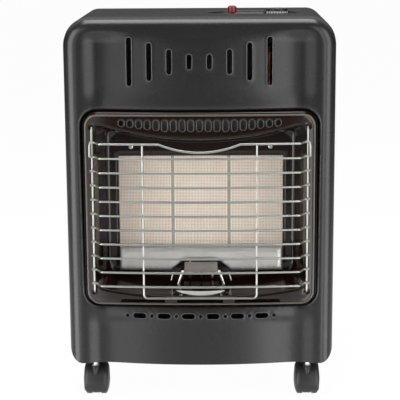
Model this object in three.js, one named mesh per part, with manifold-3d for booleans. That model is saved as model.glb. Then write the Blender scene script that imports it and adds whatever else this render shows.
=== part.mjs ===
// Portable gas cabinet heater, built as separate solids.
// Millimetres, +Z up, the front faces -Y. Heights are measured from the floor, and depths from the
// front cover's flat land, until the last lines centre the whole on the origin.
import * as THREE from 'three';
import { mergeVertices } from 'three/addons/utils/BufferGeometryUtils.js';
import Module from 'manifold-3d';

const wasm = await Module();
wasm.setup();

// ---------------------------------------------------------------- driving dimensions
const GAP = 0.3; // left between pieces that touch
const SHEET = 1.5; // painted cabinet steel
const THIN_SHEET = 1.2; // enamelled and stainless pieces
const PAST = 1; // how far a cut runs past a face that it opens, and a joined end into its neighbour

// Cabinet
const CABINET_WIDTH = 420;
const CABINET_TOP = 610;
const COVER_BOTTOM = 63;
const TOP_CORNER = 43;
const BOTTOM_CORNER = 21;
const EDGE_ROLL = 21;
const COVER_DEPTH = 26;
const SIDE_DEPTH = 330;
const REAR_LIP = 22; // inward lip round the rear opening of the cabinet wrap

// Flutes and bow of the front cover
const FACE_BOW = 8;
const GROOVE_DEPTH = 4;
const GROOVE_INSET = 55; // from the cabinet's side to the bottom of the groove
const GROOVE_RISE = 12;
const LAND_INSET = 23; // from the cabinet's side to the flat land
const FLUTE_FADE_LOW = 38;
const FLUTE_FADE_HIGH = 16;

// Slots, window and vents of the front cover
const SLOT_PITCH = 30.75;
const SLOT_WIDTH = 7.9;
const SLOT_DROP = 66.2; // from the cabinet's top to the middle of the slots
const SLOT_LENGTHS = [23.4, 38, 58.2, 74.5]; // from the centre outwards
const WINDOW_DROP = 140.4; // from the cabinet's top
const WINDOW_BOTTOM = 157.3;
const WINDOW_INSET_TOP = 24.6; // from the cabinet's side
const WINDOW_INSET_BOTTOM = 27;
const WINDOW_CORNER = 25;
const VENT_HEIGHT = 142.6;
const VENT_PITCH = 38.6;
const DIAMOND_COUNT = 7;
const DIAMOND_WIDTH = 6.5;
const DIAMOND_HEIGHT = 8;
const VENT_SLOT_LENGTH = 22.6;
const VENT_SLOT_HEIGHT = 9;

// Bezel
const BEZEL_MARGIN = 2; // daylight between the bezel and the window
const BEZEL_ROLL = 4;
const BEZEL_BOW = 9;
const BEZEL_FLANGE = 11; // how far the flange reaches behind the cover
const BEZEL_FLANGE_AT = GROOVE_DEPTH + SHEET + GAP;
const RECESS_DEPTH = 70;
const MOUTH_INSET = 45; // from the cabinet's side
const MOUTH_DROP = 44.9; // from the window's top
const MOUTH_BOTTOM = 174;
const MOUTH_TOP_SWEEP = 565; // radius of the sagging upper lip
const MOUTH_BOTTOM_SWEEP = 930;
const MOUTH_CORNER = 17;
const RECESS_TAPER = 14; // how far each side wall draws in
const RECESS_FLOOR_RISE = 10;
const RECESS_ROOF_DROP = 13;
const BEZEL_HOLE_COUNT = 19;
const BEZEL_HOLE_PITCH = 13.42;
const BEZEL_HOLE_WIDTH = 9;
const BEZEL_HOLE_DROP = 14.6; // from the window's top
const BEZEL_HOLE_TALL = 18;
const BEZEL_HOLE_SHORT = 10; // the outermost one
const BEZEL_HOLE_GROWTH = 5; // holes from each end over which they grow tall
const BEZEL_SLOT_TOP = 169.8;
const BEZEL_SLOT_BOTTOM = 162.5;
const BEZEL_SLOTS = [[-125.9, -55.1], [-37.3, 35.9], [52.6, 125.2]]; // left and right ends

// Burner
const PLAQUE_MARGIN = 15.9; // between the outer plaques and the recess's side walls
const PLAQUE_RISE = 36.3; // from the mouth's bottom
const PLAQUE_DEPTH = 13;
const PLAQUE_DROP = 34.4; // from the mouth's top
const PLAQUE_SEAM = 1.6;
const PLAQUE_COVERED = 3.3; // rim of a plaque hidden by the burner frame
const HOUSING_WALL = 2;
const HOUSING_DEPTH = 39;
const LEDGE = 4;
const HOUSING_EAR = 22;
const SCREW_INSET = 23.1; // from the plaques' outer edge
const SCREW_RISE = 11.7; // from the plaques' top
const DEFLECTOR_AT = 55;
const DEFLECTOR_INSET = 4.1; // from the plaques' outer edge
const DEFLECTOR_TOP = 240.4;
const DEFLECTOR_BOTTOM = 202.7;
const NOTCH_TOP = 220.3;
const NOTCH_HALF_TOP = 27;
const NOTCH_HALF_BOTTOM = 48.6;
const NECK_RADIUS = 11;
const NECK_BORE = 8;
const NECK_LENGTH = 22;
const BURNER_MARGIN = 2.5; // step between the bezel's opening and the burner frame's
const SCREW_RADIUS = 2;

// Pilot
const SHIELD_AT = 45;
const SHIELD_HALF = 26.5;
const SHIELD_TOP = 218;
const SHIELD_BOTTOM = 201.7;
const SHIELD_LEG = 5;
const PILOT_SPACING = 18;
const PILOT_BOTTOM = 196;
const PILOT_TOP = 214;
const PILOT_RADIUS = 4;
const THERMOCOUPLE_RADIUS = 2;
const ELECTRODE_RADIUS = 3;
const BRACKET_HALF = 28;
const BRACKET_HEIGHT = 200;
const BRACKET_REACH = 13;
const BRACKET_FOOT = 8;
const COLLAR_HEIGHT = 2;
const COLLAR_OUTSET = 1;
const ELECTRODE_DROP = 4; // from the pilot's top to the end of the electrode's ceramic
const ELECTRODE_TIP = 7; // bare end of the electrode
const SENSOR_RISE = 2; // of the thermocouple above the pilot
const LEAD_RISE = 2; // of the leads above the recess's floor
const SENSOR_LANE = 6; // from the bezel back to the thermocouple's lead
const SENSOR_DIP = 10; // of that lead below the burner

// Wire guard
const WIRE = 3.8; // diameter
const WELD = 0.8; // how far crossing wires sink together
const ROD_OUTSET = 1.5; // from the mouth's side
const ROD_DROP = 25.6; // from the window's top
const ROD_BOTTOM = 181.5;
const ROD_Y = -8;
const WIRE_COUNT = 11;
const WIRE_DROP = 3.6; // of the top wire below the mouth's top
const WIRE_BOTTOM = 197.9;
const WIRE_OVERHANG = 3.5; // of a wire's straight end to each side of its rod
const SHOULDER_INSET = 13; // from the mouth's side
const GUARD_REACH = 18; // how far the wires step forward of their ends
const GUARD_BOW = 8;
const TOP_WIRE_DIP = 12.4;
const DIP_HALF = 62;
const HOOP_X = 87.5;
const HOOP_BOTTOM = 178.8;
const HOOP_CORNER = 7;

// Control recess in the top
const RECESS_INSET = 124; // from the cabinet's side to the middle of the recess
const RECESS_Y = 172;
const RECESS_LENGTH = 152;
const RECESS_WIDTH = 96;
const DISH_DEPTH = 10;
const DISH_SLOPE = 12;
const KNOB_OFFSET = 39; // to the right of the recess's middle
const KNOB_RADIUS = 18;
const KNOB_HEIGHT = 10.6;
const KNOB_DRAFT = 1; // how far the knob's and its skirt's sides draw in
const SKIRT_RADIUS = 23;
const SKIRT_STAND = 6; // above the dish's floor
const SKIRT_HEIGHT = 5.5;
const SPINDLE_RADIUS = 3.7;
const SPINDLE_COVER = 3.9; // of the knob above the spindle's end
const BUTTON_OFFSET = 34.5; // to the left of the recess's middle
const BUTTON_AHEAD = 7; // of the recess's middle
const BUTTON_RADIUS = 7.2;
const BUTTON_STAND = 21; // above the dish's floor
const BUTTON_CROWN = 3; // height of its rounded edge
const BUTTON_HEIGHT = 12;
const BUTTON_STEM = 4;
const BUTTON_TRAVEL = 7;
const PIEZO_RADIUS = 7.5;
const PIEZO_LENGTH = 52;
const PIEZO_BASE = 26;
const PIEZO_RIM = 2.5;
const KNOB_TRAVEL = 5;
const PANEL_LIP = 7;

// Gas valve and pipes
const VALVE_SIZE = 36;
const VALVE_HEIGHT = 40;
const VALVE_DROP = 24; // below the dish's floor
const PLUG_RADIUS = 9;
const PLUG_LENGTH = 30;
const PLUG_END = 4;
const PIPE = 8;
const PILOT_PIPE = 4;
const LEAD = 3.6;
const THERMOCOUPLE_LEAD = 2.4;
const INLET_LENGTH = 28;
const INLET_RADIUS = 5;
const INLET_WALL = 3;
const INLET_NUT_LENGTH = 6;
const INLET_NUT_OUTSET = 3;
const BARB_PLACES = [0.4, 0.7]; // shares of the inlet's length
const BARB_HEIGHT = 0.8;
const BARB_LENGTH = 3;
const INLET_DROP = 16; // this and the next four are below the valve's top
const MAIN_PIPE_DROP = 18;
const PILOT_PIPE_DROP = 12;
const SENSOR_LEAD_DROP = 34;
const SPARK_LEAD_DROP = 38;
const MAIN_PIPE_OFFSET = 12.5; // to the left of the valve's middle
const PILOT_PIPE_OFFSET = 15; // to the left of the valve
const SENSOR_LEAD_X = 36;
const MANIFOLD_SIZE = 12;
const MANIFOLD_OVERHANG = 6.4; // past the middles of the outer plaques
const MANIFOLD_Z = 154;
const INJECTOR_RADIUS = 4.5;
const INJECTOR_LENGTH = 14;
const INJECTOR_SHANK = 0.6; // share of its length that isn't tapered

// Bulkhead, tray, rear cover
const BULKHEAD_AT = 130;
const BULKHEAD_FLANGE = 14;
const BULKHEAD_DROP = 22; // below the cabinet's top
const AIR_SLOT_PITCH = 110;
const AIR_SLOT_Y = 225;
const AIR_SLOT_LENGTH = 80;
const AIR_SLOT_WIDTH = 14;
const LEDGE_X = 110;
const LEDGE_LENGTH = 40;
const TRAY_FRONT = 18;
const TRAY_LIP = 17;
const TRAY_REAR_CORNER = 26;
const NOSE_CLEARANCE = 1; // between the tray's front and the cover's rounded corners
const PAN_INSET = 18; // from the cabinet's side
const PAN_DROP = 20; // below the cabinet's top
const PAN_DEPTH = 125;
const PAN_ROLL = 22;
const PAN_CORNER = 34;
const LOUVRE_ROWS = 9;
const LOUVRE_PITCH = 24;
const LOUVRE_LENGTH = 110;
const LOUVRE_GAP = 6;
const LOUVRE_DROP = 90; // of the top row below the pan's top
const LOUVRE_X = 85;
const THUMB_SCREW_DROP = 90; // below the cabinet's top
const THUMB_SCREW_RADIUS = 2.5;
const THUMB_HEAD_RADIUS = 7.5;
const THUMB_HEAD_LENGTH = 9;
const THUMB_SCREW_REACH = 7;
const TIP_SWITCH_INSET = 38; // from the cabinet's side
const TIP_SWITCH_Z = 120;
const TIP_SWITCH_SIZE = [24, 18, 30];
const BLADE_SIZE = [4, 1, 8];
const BLADE_SPACING = 6; // from the switch's middle

// Casters
const WHEEL_RADIUS = 25;
const WHEEL_WIDTH = 14.6;
const CASTER_WIDTH = 42;
const CASTER_TRAIL = 14;
const CASTER_INSET = 39; // from the cabinet's side
const FRONT_CASTER_Y = 26;
const REAR_CASTER_INSET = 50;
const REAR_CASTER_Y = 390;
const HOOD_WALL = 1.6;
const HOOD_CLEARANCE = 0.6;
const HOOD_RISE = 4; // of the hood's edge above the axle
const WEB_RADIUS = 15;
const STEM_RADIUS = 4;
const STEM_COLLAR = 2; // outset and height of the stem's collar
const STEM_HEAD = 3; // height of the stem's head in the tray
const BORE_WALL = 3; // between the stem's bore and the axle's
const BOSS_RADIUS = 7.3;
const BOSS_TAPER = 2;
const BOSS_DROP = 6; // of the boss's foot below the axle
const BOSS_TOP = 51;
const AXLE_RADIUS = 3;
const TREAD_EDGE = 4; // width and fall of the tread's outer edge
const TREAD_FALL = 3;
const WHEEL_SIDES = 24;
const AXLE_CAP = 2.5;

// ---------------------------------------------------------------- derived places
const HALF_WIDTH = CABINET_WIDTH / 2;
const GROOVE_AT = HALF_WIDTH - GROOVE_INSET;
const LAND_AT = HALF_WIDTH - LAND_INSET;
const SLOT_HEIGHT = CABINET_TOP - SLOT_DROP;
const WINDOW_TOP = CABINET_TOP - WINDOW_DROP;
const WINDOW_HALF_TOP = HALF_WIDTH - WINDOW_INSET_TOP;
const WINDOW_HALF_BOTTOM = HALF_WIDTH - WINDOW_INSET_BOTTOM;
const MOUTH_HALF = HALF_WIDTH - MOUTH_INSET;
const MOUTH_TOP = WINDOW_TOP - MOUTH_DROP;
const RECESS_HALF = MOUTH_HALF - RECESS_TAPER;
const BEZEL_HOLE_TOP = WINDOW_TOP - BEZEL_HOLE_DROP;
const SKIN = HALF_WIDTH - SHEET; // inner face of the cabinet's sides
const WRAP_FRONT = COVER_DEPTH + GAP;
const WRAP_TOP_INNER = CABINET_TOP - SHEET;
const TRAY_NOSE = HALF_WIDTH - BOTTOM_CORNER - NOSE_CLEARANCE; // half the width of the tray's front
const TRAY_FLOOR = COVER_BOTTOM + SHEET;
const BULKHEAD_TOP = CABINET_TOP - BULKHEAD_DROP;
const PAN_HALF = HALF_WIDTH - PAN_INSET;
const PAN_TOP = CABINET_TOP - PAN_DROP;
const LOUVRE_TOP = PAN_TOP - LOUVRE_DROP;
const THUMB_SCREW_X = (PAN_HALF + HALF_WIDTH) / 2;
const THUMB_SCREW_Z = CABINET_TOP - THUMB_SCREW_DROP;
const TIP_SWITCH_X = TIP_SWITCH_INSET - HALF_WIDTH;
const PAN_FRONT = SIDE_DEPTH + GAP;
const PAN_BACK = SIDE_DEPTH + PAN_DEPTH;
const BEZEL_REAR = RECESS_DEPTH + THIN_SHEET;
const FRAME_AT = BEZEL_REAR + GAP;
const PLAQUE_AT = FRAME_AT + THIN_SHEET + GAP;
const PLAQUE_TOP = MOUTH_TOP - PLAQUE_DROP;
const PLAQUE_BOTTOM = MOUTH_BOTTOM + PLAQUE_RISE;
const PLAQUES_HALF = RECESS_HALF - PLAQUE_MARGIN;
const PLAQUE_WIDTH = (2 * PLAQUES_HALF - 2 * PLAQUE_SEAM) / 3;
const PLAQUE_PITCH = PLAQUE_WIDTH + PLAQUE_SEAM;
const SCREW_X = PLAQUES_HALF - SCREW_INSET;
const SCREW_Z = PLAQUE_TOP + SCREW_RISE;
const DEFLECTOR_HALF = PLAQUES_HALF - DEFLECTOR_INSET;
const HOUSING_BACK = PLAQUE_AT + HOUSING_DEPTH;
const HOUSING_HALF = PLAQUES_HALF + GAP + HOUSING_WALL;
const HOUSING_TOP = PLAQUE_TOP + GAP + HOUSING_WALL;
const HOUSING_BOTTOM = PLAQUE_BOTTOM - GAP - HOUSING_WALL;
const NECK_Y = (PLAQUE_AT + PLAQUE_DEPTH + HOUSING_BACK) / 2;
const PIPE_LANE = (HOUSING_BACK + BULKHEAD_AT) / 2; // upright pipes run between housing and bulkhead
const DISH_FLOOR = CABINET_TOP - DISH_DEPTH;
const PANEL_FLANGE_TOP = WRAP_TOP_INNER - GAP;
const DISH_UNDERSIDE = DISH_FLOOR - SHEET;
const RECESS_X = HALF_WIDTH - RECESS_INSET;
const KNOB_X = RECESS_X + KNOB_OFFSET;
const KNOB_Y = RECESS_Y;
const SKIRT_BOTTOM = DISH_FLOOR + SKIRT_STAND;
const SKIRT_TOP = SKIRT_BOTTOM + SKIRT_HEIGHT;
const KNOB_TOP = SKIRT_BOTTOM + KNOB_HEIGHT;
const SPINDLE_TOP = KNOB_TOP - SPINDLE_COVER;
const BUTTON_X = RECESS_X - BUTTON_OFFSET;
const BUTTON_Y = RECESS_Y - BUTTON_AHEAD;
const BUTTON_TOP = DISH_FLOOR + BUTTON_STAND;
const VALVE_TOP = DISH_FLOOR - VALVE_DROP;
const VALVE_BOTTOM = VALVE_TOP - VALVE_HEIGHT;
const VALVE_LEFT = KNOB_X - VALVE_SIZE / 2;
const INLET_Z = VALVE_TOP - INLET_DROP;
const MAIN_PIPE_X = KNOB_X - MAIN_PIPE_OFFSET;
const MAIN_PIPE_Z = VALVE_TOP - MAIN_PIPE_DROP;
const PILOT_PIPE_X = VALVE_LEFT - PILOT_PIPE_OFFSET;
const PILOT_PIPE_Z = VALVE_TOP - PILOT_PIPE_DROP;
const SENSOR_LEAD_Z = VALVE_TOP - SENSOR_LEAD_DROP;
const SPARK_LEAD_Z = VALVE_TOP - SPARK_LEAD_DROP;
const MANIFOLD_HALF = PLAQUE_PITCH + MANIFOLD_OVERHANG;
const PILOT_FLOOR = MOUTH_BOTTOM + RECESS_FLOOR_RISE + THIN_SHEET;
const BRACKET_FRONT = RECESS_DEPTH - GAP - BRACKET_REACH;
const PILOT_Y = BRACKET_FRONT + BRACKET_REACH / 2;
const LEAD_Z = PILOT_FLOOR + LEAD_RISE;
const ROD_X = MOUTH_HALF + ROD_OUTSET;
const ROD_TOP = WINDOW_TOP - ROD_DROP;
const WIRE_TOP = MOUTH_TOP - WIRE_DROP;
const WIRE_PITCH = (WIRE_TOP - WIRE_BOTTOM) / (WIRE_COUNT - 1);
const WIRE_END = ROD_X + WIRE_OVERHANG;
const WIRE_STEP = ROD_X - WIRE_OVERHANG; // where a wire's straight end turns forward
const WIRE_SHOULDER = MOUTH_HALF - SHOULDER_INSET;
const CASTER_X = HALF_WIDTH - CASTER_INSET;
const REAR_CASTER_X = HALF_WIDTH - REAR_CASTER_INSET;

// ---------------------------------------------------------------- solids from geometries
// A closed geometry becomes a solid that can be joined and cut.
function toSolid(geometry) {
  for (const name of Object.keys(geometry.attributes)) {
    if (name !== 'position') geometry.deleteAttribute(name);
  }
  const merged = mergeVertices(geometry, 1e-4);
  const index = merged.index.array;
  const corners = [];
  for (let i = 0; i < index.length; i += 3) {
    const [a, b, c] = [index[i], index[i + 1], index[i + 2]];
    const collapsed = a === b || b === c || c === a;
    if (!collapsed) corners.push(a, b, c);
  }
  const vertProperties = Float32Array.from(merged.attributes.position.array);
  const triVerts = Uint32Array.from(corners);
  return new wasm.Manifold(new wasm.Mesh({ numProp: 3, vertProperties, triVerts }));
}

function toGeometry(solid) {
  const mesh = solid.getMesh();
  const geometry = new THREE.BufferGeometry();
  const positions = Float32Array.from(mesh.vertProperties);
  geometry.setAttribute('position', new THREE.BufferAttribute(positions, 3));
  geometry.setIndex(new THREE.BufferAttribute(Uint32Array.from(mesh.triVerts), 1));
  geometry.computeVertexNormals();
  return geometry;
}

const join = (first, ...others) => others.reduce((sum, other) => sum.add(other), first);
const cut = (first, ...others) => others.reduce((rest, other) => rest.subtract(other), first);

function block([x0, x1], [y0, y1], [z0, z1]) {
  const box = new THREE.BoxGeometry(x1 - x0, y1 - y0, z1 - z0);
  box.translate((x0 + x1) / 2, (y0 + y1) / 2, (z0 + z1) / 2);
  return toSolid(box);
}

// A round bar from one end to the other along X, Y or Z, about the point given.
function bar(along, radius, [start, end], [x, y, z], sides = 24) {
  const shape = new THREE.CylinderGeometry(radius, radius, end - start, sides);
  if (along === 'x') shape.rotateZ(-Math.PI / 2);
  if (along === 'z') shape.rotateX(Math.PI / 2);
  const middle = (start + end) / 2;
  shape.translate(along === 'x' ? middle : x, along === 'y' ? middle : y, along === 'z' ? middle : z);
  return toSolid(shape);
}

// An outline in X and Z, from depth y0 back to depth y1.
function plateY(outline, y0, y1, smooth = 8) {
  const options = { depth: y1 - y0, bevelEnabled: false, curveSegments: smooth };
  const plate = new THREE.ExtrudeGeometry(outline, options);
  plate.rotateX(Math.PI / 2);
  plate.translate(0, y1, 0);
  return toSolid(plate);
}

// An outline in X and Y, from height z0 up to height z1.
function plateZ(outline, z0, z1, smooth = 8) {
  const options = { depth: z1 - z0, bevelEnabled: false, curveSegments: smooth };
  const plate = new THREE.ExtrudeGeometry(outline, options);
  plate.translate(0, 0, z0);
  return toSolid(plate);
}

// A profile of [radius, height] pairs turned about an upright axis at x, y.
function turned(profile, [x, y], sides = 24) {
  const points = profile.map(([radius, height]) => new THREE.Vector2(radius, height));
  const shape = new THREE.LatheGeometry(points, sides);
  shape.rotateX(Math.PI / 2);
  shape.translate(x, y, 0);
  return toSolid(shape);
}

// A route whose steps fall on its own points, so that straight stretches take one step each.
class Route extends THREE.Curve {
  constructor(points) {
    super();
    this.points = points;
  }

  getPoint(t) {
    const place = t * (this.points.length - 1);
    const i = Math.min(Math.floor(place), this.points.length - 2);
    return this.points[i].clone().lerp(this.points[i + 1], place - i);
  }

  getTangent(t) {
    const last = this.points.length - 1;
    const i = Math.round(t * last);
    const leg = (a, b) => this.points[b].clone().sub(this.points[a]).normalize();
    const behind = leg(Math.max(i - 1, 0), Math.max(i, 1));
    return behind.add(leg(Math.min(i, last - 1), Math.min(i + 1, last))).normalize();
  }

  getUtoTmapping(u) {
    return u;
  }
}

const SHALLOW_TURN = 0.9; // radians; a route's corner below this isn't rounded

// A section drawn along a route of [x, y, z] corners, which are rounded by the bend given.
function bentBar(section, route, bend) {
  const path = new Route(roundedRoute(route.map((corner) => new THREE.Vector3(...corner)), bend));
  const steps = path.points.length - 1;
  return toSolid(new THREE.ExtrudeGeometry(section, { steps, bevelEnabled: false, extrudePath: path }));
}

// Sections for bent bars: a round one with the sides given, and a square one as wide as the wire.
function roundSection(diameter, sides) {
  const centre = new THREE.Vector2();
  const turn = (2 * Math.PI) / sides;
  const corner = (i) => new THREE.Vector2(diameter / 2, 0).rotateAround(centre, i * turn);
  return new THREE.Shape(Array.from({ length: sides }, (_, i) => corner(i)));
}

function squareSection(width) {
  const half = width / 2;
  return polygon([[-half, -half], [half, -half], [half, half], [-half, half]]);
}

function roundedRoute(corners, bend) {
  const points = [corners[0]];
  for (let i = 1; i < corners.length - 1; i += 1) {
    const corner = corners[i];
    const before = corner.clone().sub(corners[i - 1]);
    const after = corners[i + 1].clone().sub(corner);
    if (before.angleTo(after) < SHALLOW_TURN) {
      points.push(corner);
      continue;
    }
    const reach = Math.min(bend, before.length() * 0.45, after.length() * 0.45);
    const enter = corner.clone().addScaledVector(before.normalize(), -reach);
    const leave = corner.clone().addScaledVector(after.normalize(), reach);
    points.push(...new THREE.QuadraticBezierCurve3(enter, corner, leave).getPoints(2));
  }
  points.push(corners[corners.length - 1]);
  return points;
}

// Triangles for a band between two loops of equal length, as [first, second, ...] corner indices.
function bandFaces(first, second) {
  const faces = [];
  for (let i = 0; i < first.length; i += 1) {
    const next = (i + 1) % first.length;
    faces.push(first[i], second[i], second[next], first[i], second[next], first[next]);
  }
  return faces;
}

function solidFromFaces(positions, faces) {
  const geometry = new THREE.BufferGeometry();
  geometry.setAttribute('position', new THREE.Float32BufferAttribute(positions, 3));
  geometry.setIndex(faces);
  return toSolid(geometry);
}

// A solid between two loops of Vector3; the first loop is seen counter-clockwise from outside.
function loft(first, second, flatOutline) {
  const count = first.length;
  const positions = [...first, ...second].flatMap((point) => point.toArray());
  const caps = THREE.ShapeUtils.triangulateShape(flatOutline, []);
  const near = caps.flat();
  const far = caps.flatMap(([a, b, c]) => [c + count, b + count, a + count]);
  const walls = bandFaces([...Array(count).keys()], [...Array(count).keys()].map((i) => i + count));
  return solidFromFaces(positions, [...near, ...far, ...walls]);
}

// ---------------------------------------------------------------- outlines
function roundedBox(left, right, low, high, radius) {
  const shape = new THREE.Shape();
  shape.absarc(right - radius, low + radius, radius, -Math.PI / 2, 0);
  shape.absarc(right - radius, high - radius, radius, 0, Math.PI / 2);
  shape.absarc(left + radius, high - radius, radius, Math.PI / 2, Math.PI);
  shape.absarc(left + radius, low + radius, radius, Math.PI, 1.5 * Math.PI);
  return shape;
}

function stadium(x, y, length, width) {
  const [across, up] = [length / 2, width / 2];
  return roundedBox(x - across, x + across, y - up, y + up, Math.min(across, up) * 0.999);
}

function polygon(corners) {
  return new THREE.Shape(corners.map(([x, y]) => new THREE.Vector2(x, y)));
}

// Arched outline of the cabinet: square feet and two rounded top corners.
function archOutline(half, low, high, corner) {
  const shape = new THREE.Shape();
  shape.moveTo(-half, low);
  shape.lineTo(half, low);
  shape.absarc(half - corner, high - corner, corner, 0, Math.PI / 2);
  shape.absarc(-half + corner, high - corner, corner, Math.PI / 2, Math.PI);
  return shape;
}

// ---------------------------------------------------------------- pressed panels
const smooth = (t) => t * t * (3 - 2 * t);
const clamp01 = (t) => Math.min(1, Math.max(0, t));

// Depth of the cover's fluted and bowed face at x, before its edges roll back.
function fluteDepth(x) {
  const across = Math.abs(x);
  const bowEnd = GROOVE_AT - GROOVE_RISE;
  const bow = (a) => -FACE_BOW + (FACE_BOW + GROOVE_DEPTH) * (a / (GROOVE_AT - GROOVE_RISE / 2)) ** 2;
  if (across <= bowEnd) return bow(across);
  if (across >= LAND_AT) return 0;
  if (across >= GROOVE_AT) {
    return GROOVE_DEPTH * (1 - smooth((across - GROOVE_AT) / (LAND_AT - GROOVE_AT)));
  }
  const t = (across - bowEnd) / GROOVE_RISE;
  const slope = (2 * (FACE_BOW + GROOVE_DEPTH) * bowEnd) / (GROOVE_AT - GROOVE_RISE / 2) ** 2;
  return bow(bowEnd) * (1 - smooth(t)) + GROOVE_DEPTH * smooth(t) + slope * GROOVE_RISE * t * (1 - t) ** 2;
}

function coverDepthAt(x, z) {
  const below = CABINET_TOP - z;
  return fluteDepth(x) * smooth(clamp01((below - FLUTE_FADE_HIGH) / (FLUTE_FADE_LOW - FLUTE_FADE_HIGH)));
}

// A pressed panel as a closed solid: its face follows depthAt, its edges roll back, and it ends flat
// at the depth back. Columns are places from the centre out to the half width, lean widens the panel
// with height, and facing -1 turns it round to face +Y.
function pressing(panel, inset) {
  const { half, low, high, lowCorner, highCorner, roll, back, depthAt, columns, rows } = panel;
  const { lean = 0, facing = 1 } = panel;
  const radius = roll - inset;
  const centre = (low + high) / 2;
  const tall = (high - low) / 2 - inset;
  const wide = half - inset;
  const cornerAt = (z) => (z > centre ? highCorner : lowCorner) - inset;
  const insideBy = (x, z) => {
    const corner = cornerAt(z);
    const [qx, qz] = [Math.abs(x) - wide - lean * (z - low) + corner, Math.abs(z - centre) - tall + corner];
    return corner - Math.min(Math.max(qx, qz), 0) - Math.hypot(Math.max(qx, 0), Math.max(qz, 0));
  };
  const widthAt = (z) => {
    const corner = cornerAt(z);
    const beyond = Math.max(0, Math.abs(z - centre) - tall + corner);
    return wide + lean * (z - low) - corner + Math.sqrt(Math.max(0, corner * corner - beyond * beyond));
  };
  const rollBack = (x, z) => {
    const left = Math.max(0, radius - Math.max(0, insideBy(x, z)));
    return radius - Math.sqrt(Math.max(0, radius * radius - left * left));
  };
  const shares = [...columns.map((x) => -x / half).reverse(), ...columns.slice(1).map((x) => x / half)];
  const heights = rows.map((z) => centre + ((z - centre) * tall) / ((high - low) / 2));
  const [across, up] = [shares.length, heights.length];
  const front = [];
  const rear = [];
  for (const z of heights) {
    for (const share of shares) {
      const x = share * widthAt(z);
      front.push(facing * x, facing * (depthAt(x, z) + inset + rollBack(x, z)), z);
      rear.push(facing * x, facing * back, z);
    }
  }
  const at = (i, j) => j * across + i;
  const total = across * up;
  const faces = [];
  for (let j = 0; j < up - 1; j += 1) {
    for (let i = 0; i < across - 1; i += 1) {
      const [a, b, c, d] = [at(i, j), at(i + 1, j), at(i + 1, j + 1), at(i, j + 1)];
      faces.push(a, b, c, a, c, d, c + total, b + total, a + total, d + total, c + total, a + total);
    }
  }
  const rim = [];
  for (let i = 0; i < across - 1; i += 1) rim.push(at(i, 0));
  for (let j = 0; j < up - 1; j += 1) rim.push(at(across - 1, j));
  for (let i = across - 1; i > 0; i -= 1) rim.push(at(i, up - 1));
  for (let j = up - 1; j > 0; j -= 1) rim.push(at(0, j));
  faces.push(...bandFaces(rim, rim.map((corner) => corner + total)));
  return solidFromFaces([...front, ...rear], faces);
}

// Places across a roll of the radius given, from its start to the edge.
const rollPlaces = (edge, radius, steps) => Array.from({ length: steps + 1 }, (_, i) => (
  edge - radius * (1 - Math.sin((Math.PI / 2) * (i / steps)))));

// ---------------------------------------------------------------- materials
function finish(color, roughness, metalness) {
  return new THREE.MeshStandardMaterial({ color, roughness, metalness });
}

const paint = finish(0x303032, 0.5, 0.2);
const darkSteel = finish(0x4a4b4d, 0.6, 0.6);
const enamel = finish(0x150d0a, 0.12, 0.0);
const ceramic = finish(0xd8c8b4, 0.9, 0.0);
const stainless = finish(0xb9b8b2, 0.35, 1.0);
const chrome = finish(0xc8c8c6, 0.15, 1.0);
const zinc = finish(0xa9acae, 0.4, 0.9);
const brass = finish(0xb08d45, 0.3, 1.0);
const aluminium = finish(0xb0b3b5, 0.4, 1.0);
const blackPlastic = finish(0x232324, 0.5, 0.0);
const wheelPlastic = finish(0x2c2b2c, 0.55, 0.0);
const redPlastic = finish(0xa01622, 0.3, 0.0);
const whiteCeramic = finish(0xe8e4da, 0.5, 0.0);

const heater = new THREE.Group();

function addPiece(name, solid, material) {
  const mesh = new THREE.Mesh(toGeometry(solid), material);
  mesh.name = name;
  heater.add(mesh);
}

// ---------------------------------------------------------------- front cover
const windowOutline = polygon([
  [-WINDOW_HALF_BOTTOM, WINDOW_BOTTOM],
  [WINDOW_HALF_BOTTOM, WINDOW_BOTTOM],
  [WINDOW_HALF_TOP, WINDOW_TOP],
  [-WINDOW_HALF_TOP, WINDOW_TOP],
]);

// The window with its corners rounded, as the overlap of an upright box and a leaning one.
function windowCut() {
  const rounded = roundedBox(-WINDOW_HALF_TOP, WINDOW_HALF_TOP, WINDOW_BOTTOM, WINDOW_TOP, WINDOW_CORNER);
  const span = [-2 * FACE_BOW, COVER_DEPTH + GAP];
  return plateY(rounded, ...span).intersect(plateY(windowOutline, ...span));
}

function slotCuts() {
  const slot = (x, length) => (
    plateY(stadium(x, SLOT_HEIGHT, SLOT_WIDTH, length), -2 * FACE_BOW, COVER_DEPTH, 1));
  return SLOT_LENGTHS.flatMap((length, i) => (
    [-1, 1].map((side) => slot(side * (i + 0.5) * SLOT_PITCH, length))));
}

function ventCuts() {
  const cuts = [];
  const half = (DIAMOND_COUNT - 1) / 2;
  for (let i = -half; i <= half; i += 1) {
    const x = i * VENT_PITCH;
    const [w, h] = [DIAMOND_WIDTH / 2, DIAMOND_HEIGHT / 2];
    cuts.push([[x - w, VENT_HEIGHT], [x, VENT_HEIGHT - h], [x + w, VENT_HEIGHT], [x, VENT_HEIGHT + h]]);
    if (i === half) continue;
    const middle = x + VENT_PITCH / 2;
    const [long, tall] = [VENT_SLOT_LENGTH / 2, VENT_SLOT_HEIGHT / 2];
    const [left, right] = [middle - long, middle + long];
    cuts.push([
      [left, VENT_HEIGHT], [left + tall, VENT_HEIGHT - tall], [right - tall, VENT_HEIGHT - tall],
      [right, VENT_HEIGHT], [right - tall, VENT_HEIGHT + tall], [left + tall, VENT_HEIGHT + tall],
    ]);
  }
  return cuts.map((corners) => plateY(polygon(corners), -2 * FACE_BOW, COVER_DEPTH));
}

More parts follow.
